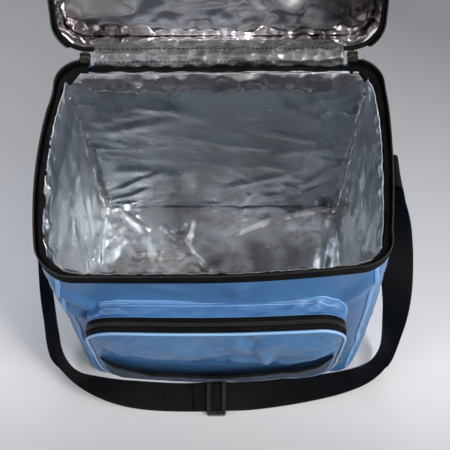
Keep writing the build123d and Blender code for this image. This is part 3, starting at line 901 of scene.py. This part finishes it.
wrinkles += on_back * folds(x, z,
    ((-134, 48), (-62, 102), 4, 2.6), ((-136, 30), (-76, 62), 3.5, 3.0), ((-136, 22), (-84, 28), 3, 2.6),
    ((134, 246), (104, 210), 3.5, 2.8), ((134, 262), (98, 236), 3.5, 2.4),
    ((136, 120), (92, 60), 4, 2.4), ((136, 76), (70, 24), 4, 2.0))
wrinkles += on_back * loose_folds(x, z, (-110, 50), (110, 240), 18, 12, (6, 12), length=(40, 110), lean=0.6)
wrinkles += on_back * loose_folds(x, z, (-120, 24), (120, 60), 9, 13, (4, 7), length=(20, 50), lean=1.3)
wrinkles += on_sides * loose_folds(y, z, (-80, 40), (80, 250), 16, 14, (5, 9), length=(60, 140), lean=1.5)
wrinkles += on_back * fold(x, z, (-134, 16), (134, 16), 5, 1.6)
wrinkles += smooth((x - lining_x + 4) / 4) * folds(y, z,
    ((60, 238), (-84, 30), 7, 2.0), ((-40, 250), (-70, 170), 6, 3.0))
wrinkles += smooth((-x - lining_x + 4) / 4) * folds(y, z,
    ((56, 262), (20, 80), 7, 2.6), ((-70, 150), (-84, 20), 5, 5.0))
seam_tuck = 2.6 * np.exp(-(from_corner / 3.0) ** 2)
free = smooth(from_corner / 14) * smooth(from_rim / 10)
depth = 0.6 + puff + puckers + (soft_waves + wrinkles + 1.2) * free
shallowest = 0.1 - 0.9 * smooth(8 - from_corner)
depth = np.maximum(depth * smooth((from_floor + 2) / 6) - seam_tuck, shallowest)
lining += pinch(lining) * smooth((lining[..., 2:] - 240) / 40)
lining = soften(lining) + inward * depth[..., None]

corner_columns = []
for sx, sy in ((1, 1), (1, -1), (-1, -1), (-1, 1)):
    corner_columns.append(int(np.argmin(np.hypot(x[0] - sx * lining_x, y[0] - sy * lining_y))))
spans = {
    "right": range(corner_columns[0], corner_columns[1] + 1),
    "front": range(corner_columns[1], corner_columns[2] + 1),
    "left": range(corner_columns[2], corner_columns[3] + 1),
    "back": [*range(corner_columns[3], lining.shape[1]), *range(0, corner_columns[0] + 1)],
}
for label, columns in spans.items():
    grid_piece(f"lining_{label}_foil", lining[:, list(columns)], foil_wall, thickness=0.4,
               stands_for=[f"lining_{label}"])

seam_lift = np.array([0.2, 1.6, 2.2, 1.8, 1.5, 0.3])
for label, corner, toward in (("back_right", 0, 1), ("front_right", 1, -1),
                              ("front_left", 2, 1), ("back_left", 3, -1)):
    columns = [corner_columns[corner] + toward * k for k in range(3, 9)]
    seam = lining[3:-10][:, columns]
    waver = 0.9 + 1.0 * rumple(seam, (40, 40, 30), 84) + 0.6 * crumple(seam, (14, 14, 22), 85)
    seam = seam + inward[3:-10][:, columns] * (seam_lift * np.clip(waver, 0.3, 2.6))[..., None]
    grid_piece(f"lining_seam_{label}", seam, foil_hem, thickness=0.4)

floor_x = steps(-lining_x + 1, lining_x - 1, 2.2)
floor_x, floor_y = np.meshgrid(floor_x, steps(-lining_y + 1, lining_y - 1, 2.2))
floor = np.stack([floor_x, floor_y, np.full(floor_x.shape, floor_top)], axis=-1)
from_edge = np.minimum(lining_x - np.abs(floor_x), lining_y - np.abs(floor_y))
from_corner = np.hypot(lining_x - np.abs(floor_x), lining_y - np.abs(floor_y))
swell = 2.2 + 1.6 * (1 - near(from_edge, 14)) + 3.0 * rumple(floor, (60, 52, 60), 21)
swell += 0.8 * creases(floor, (80, 46, 60), 22, 5) + 0.8 * crumple(floor, (30, 22, 20), 25)
swell += 1.8 * near(from_edge, 10) * crumple(floor, (18, 18, 18), 23)
swell += 9.0 * near(from_corner, 30) * crumple(floor, (15, 15, 15), 24)
swell += folds(floor_x, floor_y,
    ((-128, -98), (-112, -34), 4, 5.0), ((-116, -98), (-104, -60), 4, 4.0),
    ((124, 60), (104, -84), 8, 6.0), ((104, -40), (96, -90), 5, 4.0), ((-120, 90), (-84, 60), 4, 3.0),
    ((126, 92), (70, 80), 4, 3.0))
swell += loose_folds(floor_x, floor_y, (-120, -90), (120, 80), 24, 26, height=(0.8, 2.6), length=(24, 80),
                     lean=1.6)
floor[..., 2] += np.maximum(swell, 0.4) * smooth((from_edge + 1) / 5)
grid_piece("lining_floor_foil", floor, foil_floor, thickness=0.4, stands_for=["lining_bottom"])

# ---- rim binding and main zip, on the bag
def rim_outline(gap):
    return outline(half_x, half_y, rim_radius, gap, step=2.5, corner_steps=14)


rim_path = rim_outline(zip_end)
binding_profile = [(-0.5, 275.6), (-1.0, 279), (-1.0, 284), (-0.5, 286.2), (1.2, 287.6), (3.4, 288.1),
                   (5.8, 287.6), (7.8, 286.2), (8.9, 283.6), (9.2, 279.5), (8.7, 275.2), (7.6, 275.0),
                   (7.2, 280), (6.6, 284.4), (3.4, 285.6), (0.4, 284.4), (0.1, 276)]
binding = ring_points(rim_path, binding_profile)
rim_out = ring_outward(rim_path, len(binding_profile))
insets = np.array([inset for inset, _ in binding_profile])[:, None]
inner = smooth((insets - 3) / 4)
wave = 1.4 * rumple(binding, (20, 20, 400), 31) + 2.6 * np.abs(rumple(binding, (11, 11, 400), 32))
inner_share = np.clip(insets / 8, 0, 1)[..., None]
binding = soften(binding) + inner_share * 1.2 * pinch(binding) - rim_out * (inner * (wave - 1.2))[..., None]
binding[..., 2] += 1.0 * rumple(binding, (34, 34, 400), 33)
at_front = smooth((-binding[..., 1] - half_y + 12) / 8)
tucked = at_front * smooth((283 - binding[..., 2]) / 6) * smooth((3 - insets) / 2)
binding[..., 2] += 3.5 * tucked
grid_piece("rim_binding_tape", binding, black_tape, wrap_rows=True, caps=True, stands_for=["rim_binding"])
stitch_row("rim_stitches", binding[2] - [0, 0, 4.0], rim_out[0], 3.0, dark_thread, radius=0.3, lift=0.3)

body_tape_profile = [(-1.4, 278.4), (-1.5, 282), (-1.5, 286), (-1.45, 289), (-1.45, 291.4)]
body_tape = soften(ring_points(rim_path, body_tape_profile))
grid_piece("main_zip_tape_body_cloth", body_tape, zip_tape, thickness=0.7, stands_for=["main_zip_tape_body"])

# The coil stops short of its tape's ends, where the sliders are.
coil_path = rim_outline(zip_end + 9)
coil_line = soften(ring_points(coil_path, [(-1.5, 292.4)]))[0]
coil_up = np.broadcast_to([0.0, 0.0, 1.0], coil_line.shape)
coil_row("main_zip_coil_body_turns", coil_line, coil_up, coil_pitch, 1.3, coil_radius, coil_plastic,
         stands_for=["main_zip_coil_body"])

# ---- lid
def lid_outline(gap=None):
    """The closed lid's outline, a millimetre wider than the bag's on every side."""
    return outline(half_x + 1, half_y + 1, lid_radius, gap, step=2.4, corner_steps=18)


def soften_lid(points):
    """The lid's own slight unevenness."""
    p = np.array(points, float)
    x, y = p[..., 0], p[..., 1]
    middle_x = np.clip(1 - (x / half_x) ** 2, 0, 1)
    middle_y = np.clip(1 - (y / half_y) ** 2, 0, 1)
    p[..., 0] -= 1.5 * np.sign(x) * middle_y * np.clip(np.abs(x) / half_x, 0, 1) ** 3
    p[..., 1] -= 3.0 * middle_x * np.clip(-y / half_y, 0, 1) ** 3
    return p


lid_path = lid_outline()
band_profile = [(1.2, 301.6), (0.0, 304), (-1.0, 309), (-1.6, 314), (-1.4, 319), (-0.2, 324), (2.0, 326.8),
                (5.5, 328.2)]
band = ring_points(lid_path, band_profile)
band_out = ring_outward(lid_path, len(band_profile))
band_lumps = 0.8 * rumple(band, (40, 40, 20), 41)
band = opened(soften_lid(band) + band_out * band_lumps[..., None])
grid_piece("lid_band", band, blue, wrap=True, thickness=0.8, body="lid", stands_for=["lid_band_shell"])


def rounded_grid(wide, deep, radius, step):
    """A grid that fills a rounded rectangle, its corner points drawn in to the corner's arc."""
    grid_x, grid_y = np.meshgrid(steps(-wide, wide, step), steps(-deep, deep, step))
    over_x = np.maximum(np.abs(grid_x) - (wide - radius), 0)
    over_y = np.maximum(np.abs(grid_y) - (deep - radius), 0)
    span = np.hypot(over_x, over_y)
    widest = np.maximum(np.maximum(over_x, over_y), 1e-9)
    shrink = np.where(span > 0, widest / np.maximum(span, 1e-9), 1)
    grid_x = np.sign(grid_x) * (np.minimum(np.abs(grid_x), wide - radius) + over_x * shrink)
    grid_y = np.sign(grid_y) * (np.minimum(np.abs(grid_y), deep - radius) + over_y * shrink)
    past_x = np.maximum(np.abs(grid_x) - (wide - radius), 0)
    past_y = np.maximum(np.abs(grid_y) - (deep - radius), 0)
    reach = np.hypot(past_x, past_y)
    from_edge = np.minimum(np.minimum(wide - np.abs(grid_x), deep - np.abs(grid_y)), radius - reach)
    return grid_x, grid_y, np.maximum(from_edge, 0)


top_x, top_y, from_edge = rounded_grid(half_x - 4.6, half_y - 4.6, lid_radius - 5.6, 4)
top = np.stack([top_x, top_y, np.full(top_x.shape, lid_cloth_height)], axis=-1)
crown = 5.0 * (1 - near(from_edge, 34)) + 1.0 * rumple(top, (80, 70, 60), 42) * smooth(from_edge / 20)
crown += 0.8 * near(from_edge, 10) * np.abs(rumple(top, (12, 12, 60), 43))
top[..., 2] += crown
top = settle(opened(soften_lid(top)), smooth((7 - from_edge) / 5), grow=0.012, push=1.5, limit=6)
grid_piece("lid_top_cloth", top, blue, thickness=0.8, body="lid", stands_for=["lid_top_shell"])
pad_x, pad_y, from_edge = rounded_grid(half_x - 3.5, half_y - 3.5, lid_radius - 4, 6)
pad_low = np.stack([pad_x, pad_y, 322.6 + 0 * pad_x], axis=-1)
pad_high = np.stack([pad_x, pad_y, 323.5 + 2.6 * smooth(from_edge / 12)], axis=-1)
pad = make_piece("lid_foam_pad", opened(soften_lid(np.stack([pad_low, pad_high]))), slab_faces(*pad_x.shape),
                 foam_white, body="lid", stands_for=["lid_foam"])

inner_profile = [(0.2, 302.4), (1.6, 303.6), (2.6, 307), (3.0, 311), (3.2, 315), (3.0, 318.6), (3.6, 320.6)]
inner_band = ring_points(lid_path, inner_profile)
band_out = ring_outward(lid_path, len(inner_profile))
gather = 4.4 * crumple(inner_band, (9, 9, 10), 44) + 0.8 * rumple(inner_band, (6, 6, 6), 45)
edge_hold = np.array([0.1, 0.4, 1, 1, 1, 0.7, 0.2])[:, None]
inner_band = opened(soften_lid(inner_band) - band_out * (gather * edge_hold)[..., None])
grid_piece("lid_band_foil", inner_band, foil_lid, wrap=True, thickness=0.4, body="lid",
           stands_for=["lid_band_lining"])

in_x, in_y, from_edge = rounded_grid(half_x - 2.2, half_y - 2.2, lid_radius - 3.2, 2.3)
inside = np.stack([in_x, in_y, np.full(in_x.shape, lid_foil_height)], axis=-1)
swell = 3.6 * (1 - near(from_edge, 26)) + 4.5 * rumple(inside, (62, 46, 60), 46) * smooth(from_edge / 20)
swell += 3.6 * crumple(inside, (84, 50, 60), 47) * smooth(from_edge / 16)
long_edge = smooth((half_x - np.abs(in_x) - half_y + np.abs(in_y)) / 20)
across_edge = long_edge * rumple(inside, (9, 44, 60), 48) + (1 - long_edge) * rumple(inside, (44, 9, 60), 50)
gathered = np.clip(0.7 + 1.4 * rumple(inside, (44, 44, 60), 59), 0.2, 1.6)
edge_puckers = 2.0 * np.abs(across_edge) + 2.4 * crumple(inside, (10, 10, 60), 54)
swell += gathered * near(from_edge - 5, 10) * edge_puckers
swell += gathered * 1.1 * crumple(inside, (26, 15, 60), 49) * smooth(from_edge / 10)
swell += smooth(from_edge / 12) * loose_folds(in_x, in_y, (-120, -80), (120, 80), 22, 60, (6, 14), lean=1.4)
inside[..., 2] -= np.maximum(swell, 0) * smooth(from_edge / 4)
grid_piece("lid_top_foil", opened(soften_lid(inside)), foil_lid, thickness=0.4, body="lid",
           stands_for=["lid_top_lining"])

lid_zip_path = lid_outline(zip_end + 17)
lid_tape_profile = [(-1.4, 298.8), (-1.4, 301.5), (-1.5, 304), (-2.0, 308), (-2.2, 311.6)]
lid_tape = opened(soften_lid(ring_points(lid_zip_path, lid_tape_profile)))
grid_piece("main_zip_tape_lid_cloth", lid_tape, zip_tape, thickness=0.7, body="lid",
           stands_for=["main_zip_tape_lid"])
edge_profile = [(-1.0, 303.2), (-1.0, 301.0), (0.0, 300.0), (1.6, 300.0), (2.8, 301.0), (3.0, 303.0),
                (2.0, 302.4), (1.4, 301.4), (0.2, 301.2), (-0.4, 302.0)]
lid_edge = soften_lid(ring_points(lid_path, edge_profile))
lid_edge[..., 2] += 0.7 * rumple(lid_edge, (14, 14, 400), 47)
grid_piece("lid_edge_tape", opened(lid_edge), black_tape, wrap=True, wrap_rows=True, body="lid")
lid_coil_path = lid_outline(zip_end + 19)
coil_line = soften_lid(ring_points(lid_coil_path, [(-1.5, 297.5)]))[0]
lid_up = opened(coil_line + [0, 0, 1.0]) - opened(coil_line)
coil_row("main_zip_coil_lid_turns", opened(coil_line), lid_up, coil_pitch, 1.3, coil_radius, coil_plastic,
         body="lid", stands_for=["main_zip_coil_lid"])


# ---- fabric hinge
def hinge_points(inset, overlap=7.0, columns=150, rows=26):
    """Rows across a strip that leaves the back wall upwards and bends over to the open lid's band."""
    start_y = half_y - inset
    arm_y = start_y - hinge_y
    arm_z = lid_bottom - hinge_z
    end_y = hinge_y + arm_y * math.cos(lid_angle) + arm_z * math.sin(lid_angle)
    end_z = hinge_z - arm_y * math.sin(lid_angle) + arm_z * math.cos(lid_angle)
    reach = end_y - start_y
    rise = end_z - hinge_foot
    bend = (reach ** 2 + rise ** 2) / (2 * reach)
    sweep = math.atan2(rise, bend - reach)
    line = [(start_y, hinge_foot - overlap * (1 - i / 4)) for i in range(4)]
    for i in range(rows - 8):
        a = sweep * i / (rows - 9)
        line.append((start_y + bend * (1 - math.cos(a)), hinge_foot + bend * math.sin(a)))
    ahead = np.array([math.sin(sweep), math.cos(sweep)])
    for i in range(1, 5):
        line.append(tuple(np.array(line[rows - 5]) + ahead * overlap * i / 4))
    across = np.linspace(-hinge_half, hinge_half, columns)
    grid = np.zeros((len(line), columns, 3))
    for r, (line_y, line_z) in enumerate(line):
        grid[r] = np.column_stack([across, np.full(columns, line_y), np.full(columns, line_z)])
    return grid


for label, inset, cloth, node in (("outer", -0.4, blue, "hinge_strip_outer"),
                                  ("foil", 2.8, foil_strip, "hinge_strip_lining")):
    strip = hinge_points(inset)
    normals = grid_normals(strip)
    waves = 0.8 * rumple(strip, (16, 8, 8), 51) + 1.5 * crumple(strip, (11, 6, 6), 52)
    strip = strip + normals * (waves if label == "foil" else 0.5 * waves)[..., None]
    piece = grid_piece(f"hinge_{label}_cloth", strip, cloth, body=None, stands_for=[node])
    thicken(piece, 0.4, offset=-1)
    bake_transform(piece)
    if label == "foil":
        for place, row in (("low", 10), ("high", 19)):
            facing = -normals[row] * np.sign(normals[row][:, 1:2] + 1e-6)
            threads = stitch_row(f"hinge_stitches_{place}", strip[row], facing, 4.3, dark_thread, radius=0.5,
                                 lift=0.5, body=None)
            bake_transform(threads)


hem_half = 138.0
hem_height = 23.0
hem_x, hem_drop = np.meshgrid(steps(-hem_half, hem_half, 1.6), steps(0, 1, 1 / 14))
hem_end = smooth((hem_half - np.abs(hem_x)) / 22)
hem_y = half_y - lining_inset - 1.6 - 3.4 * smooth(hem_drop)
hem = np.stack([hem_x, hem_y, np.full(hem_x.shape, back_edge_height)], axis=-1)
hem[..., 2] -= hem_height * hem_drop * (0.35 + 0.65 * hem_end) * (1 + 0.22 * rumple(hem, (24, 24, 300), 83))
hem_puckers = 1.2 + 3.4 * crumple(hem, (17, 17, 17), 81) + 1.0 * np.abs(rumple(hem, (8, 8, 26), 82))
hem[..., 1] -= hem_puckers * smooth(hem_drop * 3 + 0.2) * (0.4 + 0.6 * hem_end)
grid_piece("lining_back_hem", soften(hem), foil_hem, thickness=0.4)
back_edge = []
for forward, lift in ((7.8, 0.2), (7.2, 1.1), (5.6, 1.8), (3.6, 1.6), (2.6, 0.6), (5.0, -0.6)):
    across = np.linspace(-zip_end, zip_end, 100)
    line = np.column_stack([across, np.full(100, half_y - forward), np.full(100, back_edge_height + lift)])
    line[:, 1] -= 0.9 * rumple(line, (12, 12, 12), 53) * smooth((forward - 3) / 3)
    back_edge.append(line)
grid_piece("hinge_edge_tape", np.stack(back_edge), black_tape, wrap_rows=True, caps=True)


# ---- front pocket
def pocket_side_points(start, end):
    """How many points lie between two corners of the pocket, about 3 mm apart."""
    return max(2, round(math.dist(start, end) / 3.0))


pocket_low = pocket_round - pocket_height
pocket_wide = pocket_half - pocket_round
pocket_centres = [(-pocket_wide, pocket_low), (-pocket_wide, -pocket_round),
                  (pocket_wide, -pocket_round), (pocket_wide, pocket_low)]
pocket_anchors, pocket_facing = rounded_path(pocket_centres, -90, pocket_side_points, 9)


def net_top(across):
    """The height of the net's upper edge, which dips in the middle."""
    return -78 - 22 * (1 - (across / net_half) ** 2)


def pocket_rows(depths, inset=0.0):
    """Rows round the pocket. Each depth is a number or one value for each point of the outline."""
    plan = pocket_anchors + (pocket_round - inset) * pocket_facing
    rows = []
    for depth in depths:
        rows.append(np.column_stack([plan[:, 0], np.broadcast_to(depth, len(plan)), plan[:, 1]]))
    return np.stack(rows)


pocket_plan = pocket_rows([0.0])[0]
plan_x, plan_z = pocket_plan[:, 0], pocket_plan[:, 2]
pocket_out = np.column_stack([pocket_facing[:, 0], np.zeros(len(plan_x)), pocket_facing[:, 1]])
wall_depth = (pocket_depth + plan_z * math.sin(pocket_tilt)) / math.cos(pocket_tilt)
by_zip = smooth((plan_z + zip_drop) / 5)
first_depth = 2.2 + 12.6 * by_zip
shares = np.linspace(0, 1, 20)
gusset = pocket_rows([first_depth + (wall_depth + 0.5 - first_depth) * share for share in shares])
dimples = (-98, 99)
spots = sum(np.exp(-((gusset[..., 0] - sx) ** 2 + (gusset[..., 2] + 6) ** 2) / 15.0 ** 2) for sx in dimples)
middle = shares[:, None] * (1 - shares[:, None]) * 4
gusset_push = 1.8 * middle * rumple(gusset, (18, 9, 18), 61) - 3.6 * spots * middle
gusset_push += 9.0 * spots * (crumple(gusset, (12, 9, 12), 62) - 0.4) * smooth(shares[:, None] * 6)
gusset_push += middle * crumple(gusset, (14, 9, 14), 63) - middle
gusset = pocket_place(gusset + pocket_out[None] * gusset_push[..., None])
grid_piece("pocket_gusset_cloth", gusset, blue, wrap=True, thickness=0.8, stands_for=["pocket_gusset"])
for label, row in (("near", 17), ("far", 14)):
    chosen = np.where((plan_z > -14) & (np.abs(plan_x) < 108))[0]
    stitch_row(f"pocket_top_stitches_{label}", gusset[row][chosen], pocket_out[chosen], stitch_pitch,
               blue_thread, radius=0.5, lift=0.5)
chosen = np.where(plan_z > -60)[0]
flange_line = gusset[-1][chosen] + pocket_out[chosen] * 1.2
facing = np.broadcast_to([0.0, -1.0, 0.0], flange_line.shape)
ridge("pocket_top_seam", flange_line, facing, 3.6, 0.9, blue_seam)

zip_columns = np.where(plan_z > -zip_drop)[0]
zip_out = pocket_out[zip_columns]


def zip_band(node, depths, push):
    """One side of the pocket's zip tape: rows at the given depths, each pushed outwards a little."""
    rows = pocket_rows(depths)[:, zip_columns]
    rows = rows + zip_out[None] * np.array(push)[:, None, None]
    grid_piece(f"{node}_cloth", pocket_place(rows), zip_tape, thickness=0.7, stands_for=[node])


zip_band("pocket_zip_tape_front", [1.8, 3.6, 5.4, 7.0], [-0.6, -0.2, 0.0, 0.1])
zip_band("pocket_zip_tape_back", [10.2, 11.8, 13.6, 15.6], [0.1, 0.0, -0.3, -0.9])
for label, depth in (("front", zip_middle - 0.95), ("back", zip_middle + 0.95)):
    line = pocket_place(pocket_rows([depth])[0][zip_columns] + zip_out * 0.3)
    across = pocket_place(pocket_rows([depth + 1.0])[0][zip_columns] + zip_out * 0.3) - line
    coil_row(f"pocket_zip_coil_{label}_turns", line, across, coil_pitch, 0.95, 0.6, coil_plastic,
             stands_for=[f"pocket_zip_coil_{label}"])

piping_path = pocket_rows([0.0], inset=1.2)[0]
piping_rows = []
for k in range(10):
    a = 2 * math.pi * k / 10
    offset = pocket_out * math.cos(a) + np.array([0.0, math.sin(a), 0.0])
    piping_rows.append(piping_path + 1.4 * offset)
piping = np.stack(piping_rows)
piping = piping + pocket_out[None] * (0.35 * rumple(piping, (22, 22, 22), 64))[..., None]
grid_piece("pocket_piping_cord", pocket_place(piping), blue_piping, wrap=True, wrap_rows=True,
           stands_for=["pocket_piping"])


def panel_belly(panel_x, panel_z, from_edge):
    """How far the pocket's front stands out: filled a little, and folded from the zip's corners."""
    panel = np.stack([panel_x, np.zeros(panel_x.shape), panel_z], axis=-1)
    belly = 3.4 * (1 - near(from_edge, 30)) + 2.0 * rumple(panel, (80, 60, 44), 65) * smooth(from_edge / 18)
    belly += 0.5 * creases(panel, (60, 60, 30), 66, 4) * smooth(from_edge / 10)
    belly += folds(panel_x, panel_z,
        ((22, -8), (44, -58), 8, -5.5), ((34, -30), (52, -84), 6, 5.0), ((50, -70), (10, -84), 6, 3.4),
        ((110, -44), (56, -96), 9, 4.6), ((108, -64), (70, -112), 8, -4.0),
        ((-104, -46), (-36, -58), 9, 3.0), ((-104, -70), (-20, -92), 9, -3.4),
        ((-96, -30), (-80, -84), 6, 2.6))
    return np.maximum(belly, -2.5) * smooth(from_edge / 8)


panel_x, panel_z, from_edge = rounded_grid(pocket_half - panel_inset, pocket_height / 2 - panel_inset, 27, 3)
panel_z = panel_z - pocket_height / 2
panel = np.stack([panel_x, -panel_belly(panel_x, panel_z, from_edge), panel_z], axis=-1)
behind_net = smooth((net_top(panel_x) + 14 - panel_z) / 22)
held = np.maximum(smooth((9 - from_edge) / 6), behind_net)
panel = settle(pocket_place(panel), held, grow=0.02, push=0.8)
grid_piece("pocket_front_cloth", panel, blue, thickness=0.8, stands_for=["pocket_front_panel"])

# ---- net pocket
def net_depth(across, up):
    """How far the net stands in front of the pocket's frame plane."""
    bulge = 8.5 * np.clip(1 - (across / net_half) ** 2, 0, 1) ** 0.6
    gather = smooth((up - net_bottom - 20) / 80)
    return 4.2 * smooth((net_half - np.abs(across)) / 14) * (0.2 + 0.8 * gather) + bulge * gather + 0.6


net_rows = []
net_across = steps(-net_half, net_half, 3)
for share in np.linspace(0, 1, 44):
    top_z = net_top(net_across)
    low_edge = net_bottom + 26 * (np.abs(net_across) / net_half) ** 6
    up = top_z + (low_edge - top_z) * share
    net_rows.append(np.column_stack([net_across, -net_depth(net_across, up), up]))
net_grid = np.stack(net_rows)
net_grid[..., 1] -= 1.4 * rumple(net_grid, (46, 46, 30), 71) + 1.6 * creases(net_grid, (70, 70, 26), 72, 3)
net_x, net_z = net_grid[..., 0], net_grid[..., 2]
from_edge = np.minimum(pocket_half - np.abs(net_x), pocket_height + net_z) - panel_inset
behind = panel_belly(net_x, net_z, from_edge)
net_grid[..., 1] = np.minimum(net_grid[..., 1], -1.2 - behind)
grid_piece("mesh_panel_net", pocket_place(net_grid), mesh_net, thickness=0.5, stands_for=["mesh_panel"])
edge_line = net_grid[0]
binding_rows = []
for up_shift, out_shift in ((1.0, 0.6), (1.2, -0.4), (0.6, -1.2), (-2.0, -1.5), (-5.2, -1.4), (-6.4, -0.9),
                            (-6.2, 0.3), (-2.0, 0.5)):
    binding_rows.append(edge_line + [0, out_shift, up_shift])
elastic = np.stack(binding_rows)
elastic[..., 1] += 0.5 * rumple(elastic, (6, 6, 30), 73)
grid_piece("mesh_binding_elastic", pocket_place(elastic), black_tape, wrap_rows=True, caps=True,
           stands_for=["mesh_binding"])

# ---- strap anchors
for label, side in (("left", -1), ("right", 1)):
    tab_heights = np.linspace(anchor_middle - anchor_half_z, anchor_middle + anchor_half_z, 32)
    tab_y, tab_z = np.meshgrid(np.linspace(-anchor_half_y, anchor_half_y, 30), tab_heights)
    layers = []
    for lift in (0.2, 2.3):
        edge = np.maximum(np.abs(tab_y) / anchor_half_y, np.abs(tab_z - anchor_middle) / anchor_half_z)
        ribs = 0.12 * np.sin(2 * math.pi * tab_z / rib_pitch) * (lift > 1)
        puffy = lift * np.clip(1 - edge ** 10 * 0.6, 0, 1) + ribs
        layers.append(np.stack([side * (half_x + puffy), tab_y, tab_z], axis=-1))
    uv = np.stack([np.stack([tab_z, tab_y], axis=-1)] * 2)
    make_piece(f"strap_anchor_{label}_tab", soften(np.stack(layers)), slab_faces(*tab_y.shape), webbing,
               stands_for=[f"strap_anchor_{label}"], uv=uv)
    y1 = anchor_half_y - 4
    z1 = anchor_half_z - 4
    box = [(-y1, -z1), (y1, -z1), (y1, z1), (-y1, z1), (-y1, -z1), (y1, z1), (y1, -z1), (-y1, z1)]
    path = np.array([[side * (half_x + 2.5), across, anchor_middle + up] for across, up in box], float)
    outs = np.broadcast_to([float(side), 0.0, 0.0], path.shape)
    stitch_row(f"strap_anchor_{label}_stitches", soften(path), outs, stitch_pitch, dark_thread, radius=0.35,
               slot="webbing")

# ---- hard pieces kept from the CAD
metal_nodes = ("main_slider_left", "main_slider_right", "main_pull_left", "main_pull_right", "pocket_slider",
               "pocket_pull")
for node in (*metal_nodes, "strap_adjuster"):
    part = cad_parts[node]
    part.data.materials.clear()
    part.data.materials.append(slider_metal if node in metal_nodes else glide_plastic)

# ---- floor and light
floor_mesh = bpy.data.meshes.new("studio_floor")
floor_mesh.from_pydata([(-9, -9, 0), (9, -9, 0), (9, 9, 0), (-9, 9, 0)], [], [(0, 1, 2, 3)])
studio = bpy.data.objects.new("studio_floor", floor_mesh)
bpy.context.collection.objects.link(studio)

# The paper's colour carries painted light and shade: grey in front and darker there towards the right, light
# beside the bag, and darker again far behind it and towards the right.
n = Nodes("studio_paper", Roughness=0.9, Specular_IOR_Level=0.1)
coordinates = n.add("ShaderNodeTexCoord")
split = n.add("ShaderNodeSeparateXYZ")
n.link(coordinates.outputs["Object"], split.inputs["Vector"])
far = n.add("ShaderNodeMath", operation="MULTIPLY_ADD")
n.link(split.outputs["X"], far.inputs[0])
far.inputs[1].default_value = 0.45
n.link(split.outputs["Y"], far.inputs[2])
paper = n.blend(n.remap(far.outputs[0], 0, 1, -0.09, 0.5), (0.77, 0.77, 0.785), (0.24, 0.245, 0.26))
# Painted shade: the paper in front darkens towards the right.
front_paper = n.blend(n.remap(split.outputs["X"], 0, 1, 0.0, 0.4), (0.25, 0.25, 0.25), (0.12, 0.119, 0.118))
n.colour(n.blend(n.remap(split.outputs["Y"], 0, 1, -0.34, -0.1), front_paper, paper))
floor_mesh.materials.append(n.made)


def softbox(name, place, aim, size, power, colour=(1, 1, 1)):
    """A rectangular lamp that faces a point."""
    light = bpy.data.lights.new(name, "AREA")
    light.shape = "RECTANGLE"
    light.size = size[0]
    light.size_y = size[1]
    light.energy = power
    light.color = colour
    lamp = bpy.data.objects.new(name, light)
    bpy.context.collection.objects.link(lamp)
    lamp.location = place
    lamp.rotation_euler = (Vector(aim) - Vector(place)).to_track_quat("-Z", "Y").to_euler()


softbox("key", (1.0, -0.75, 1.25), (0, 0, 0.1), (0.6, 0.6), 18, (1.0, 0.98, 0.95))
softbox("right", (1.1, -0.35, 0.45), (0.15, -0.1, 0.2), (0.5, 0.5), 4)
softbox("fill", (-1.1, -0.5, 1.0), (0, 0, 0.15), (0.8, 0.8), 5, (0.93, 0.96, 1.0))
softbox("back", (0.1, 1.3, 1.3), (0, 0, 0.25), (1.2, 0.6), 7)

# The room round the bag: soft light and dark patches above, a plain grey below.
room = Nodes("studio", world=True, Strength=0.55)
directions = room.add("ShaderNodeTexCoord").outputs["Generated"]
patches = room.add("ShaderNodeTexNoise", Scale=2.6, Detail=2.0)
room.link(directions, patches.inputs["Vector"])
tone = room.remap(patches.outputs["Fac"], 0, 1, 0.42, 0.58)
tones = room.blend(tone, (0.16, 0.135, 0.135), (1.32, 1.37, 1.45))
upward = room.add("ShaderNodeSeparateXYZ")
room.link(directions, upward.inputs["Vector"])
walls = room.blend(room.remap(upward.outputs["Z"], 0, 1, 0.12, 0.3), (0.42, 0.42, 0.44), tones)
room.link(walls, room.shader.inputs["Color"])
bpy.context.scene.world = room.made

bpy.context.scene.view_settings.view_transform = "Standard"
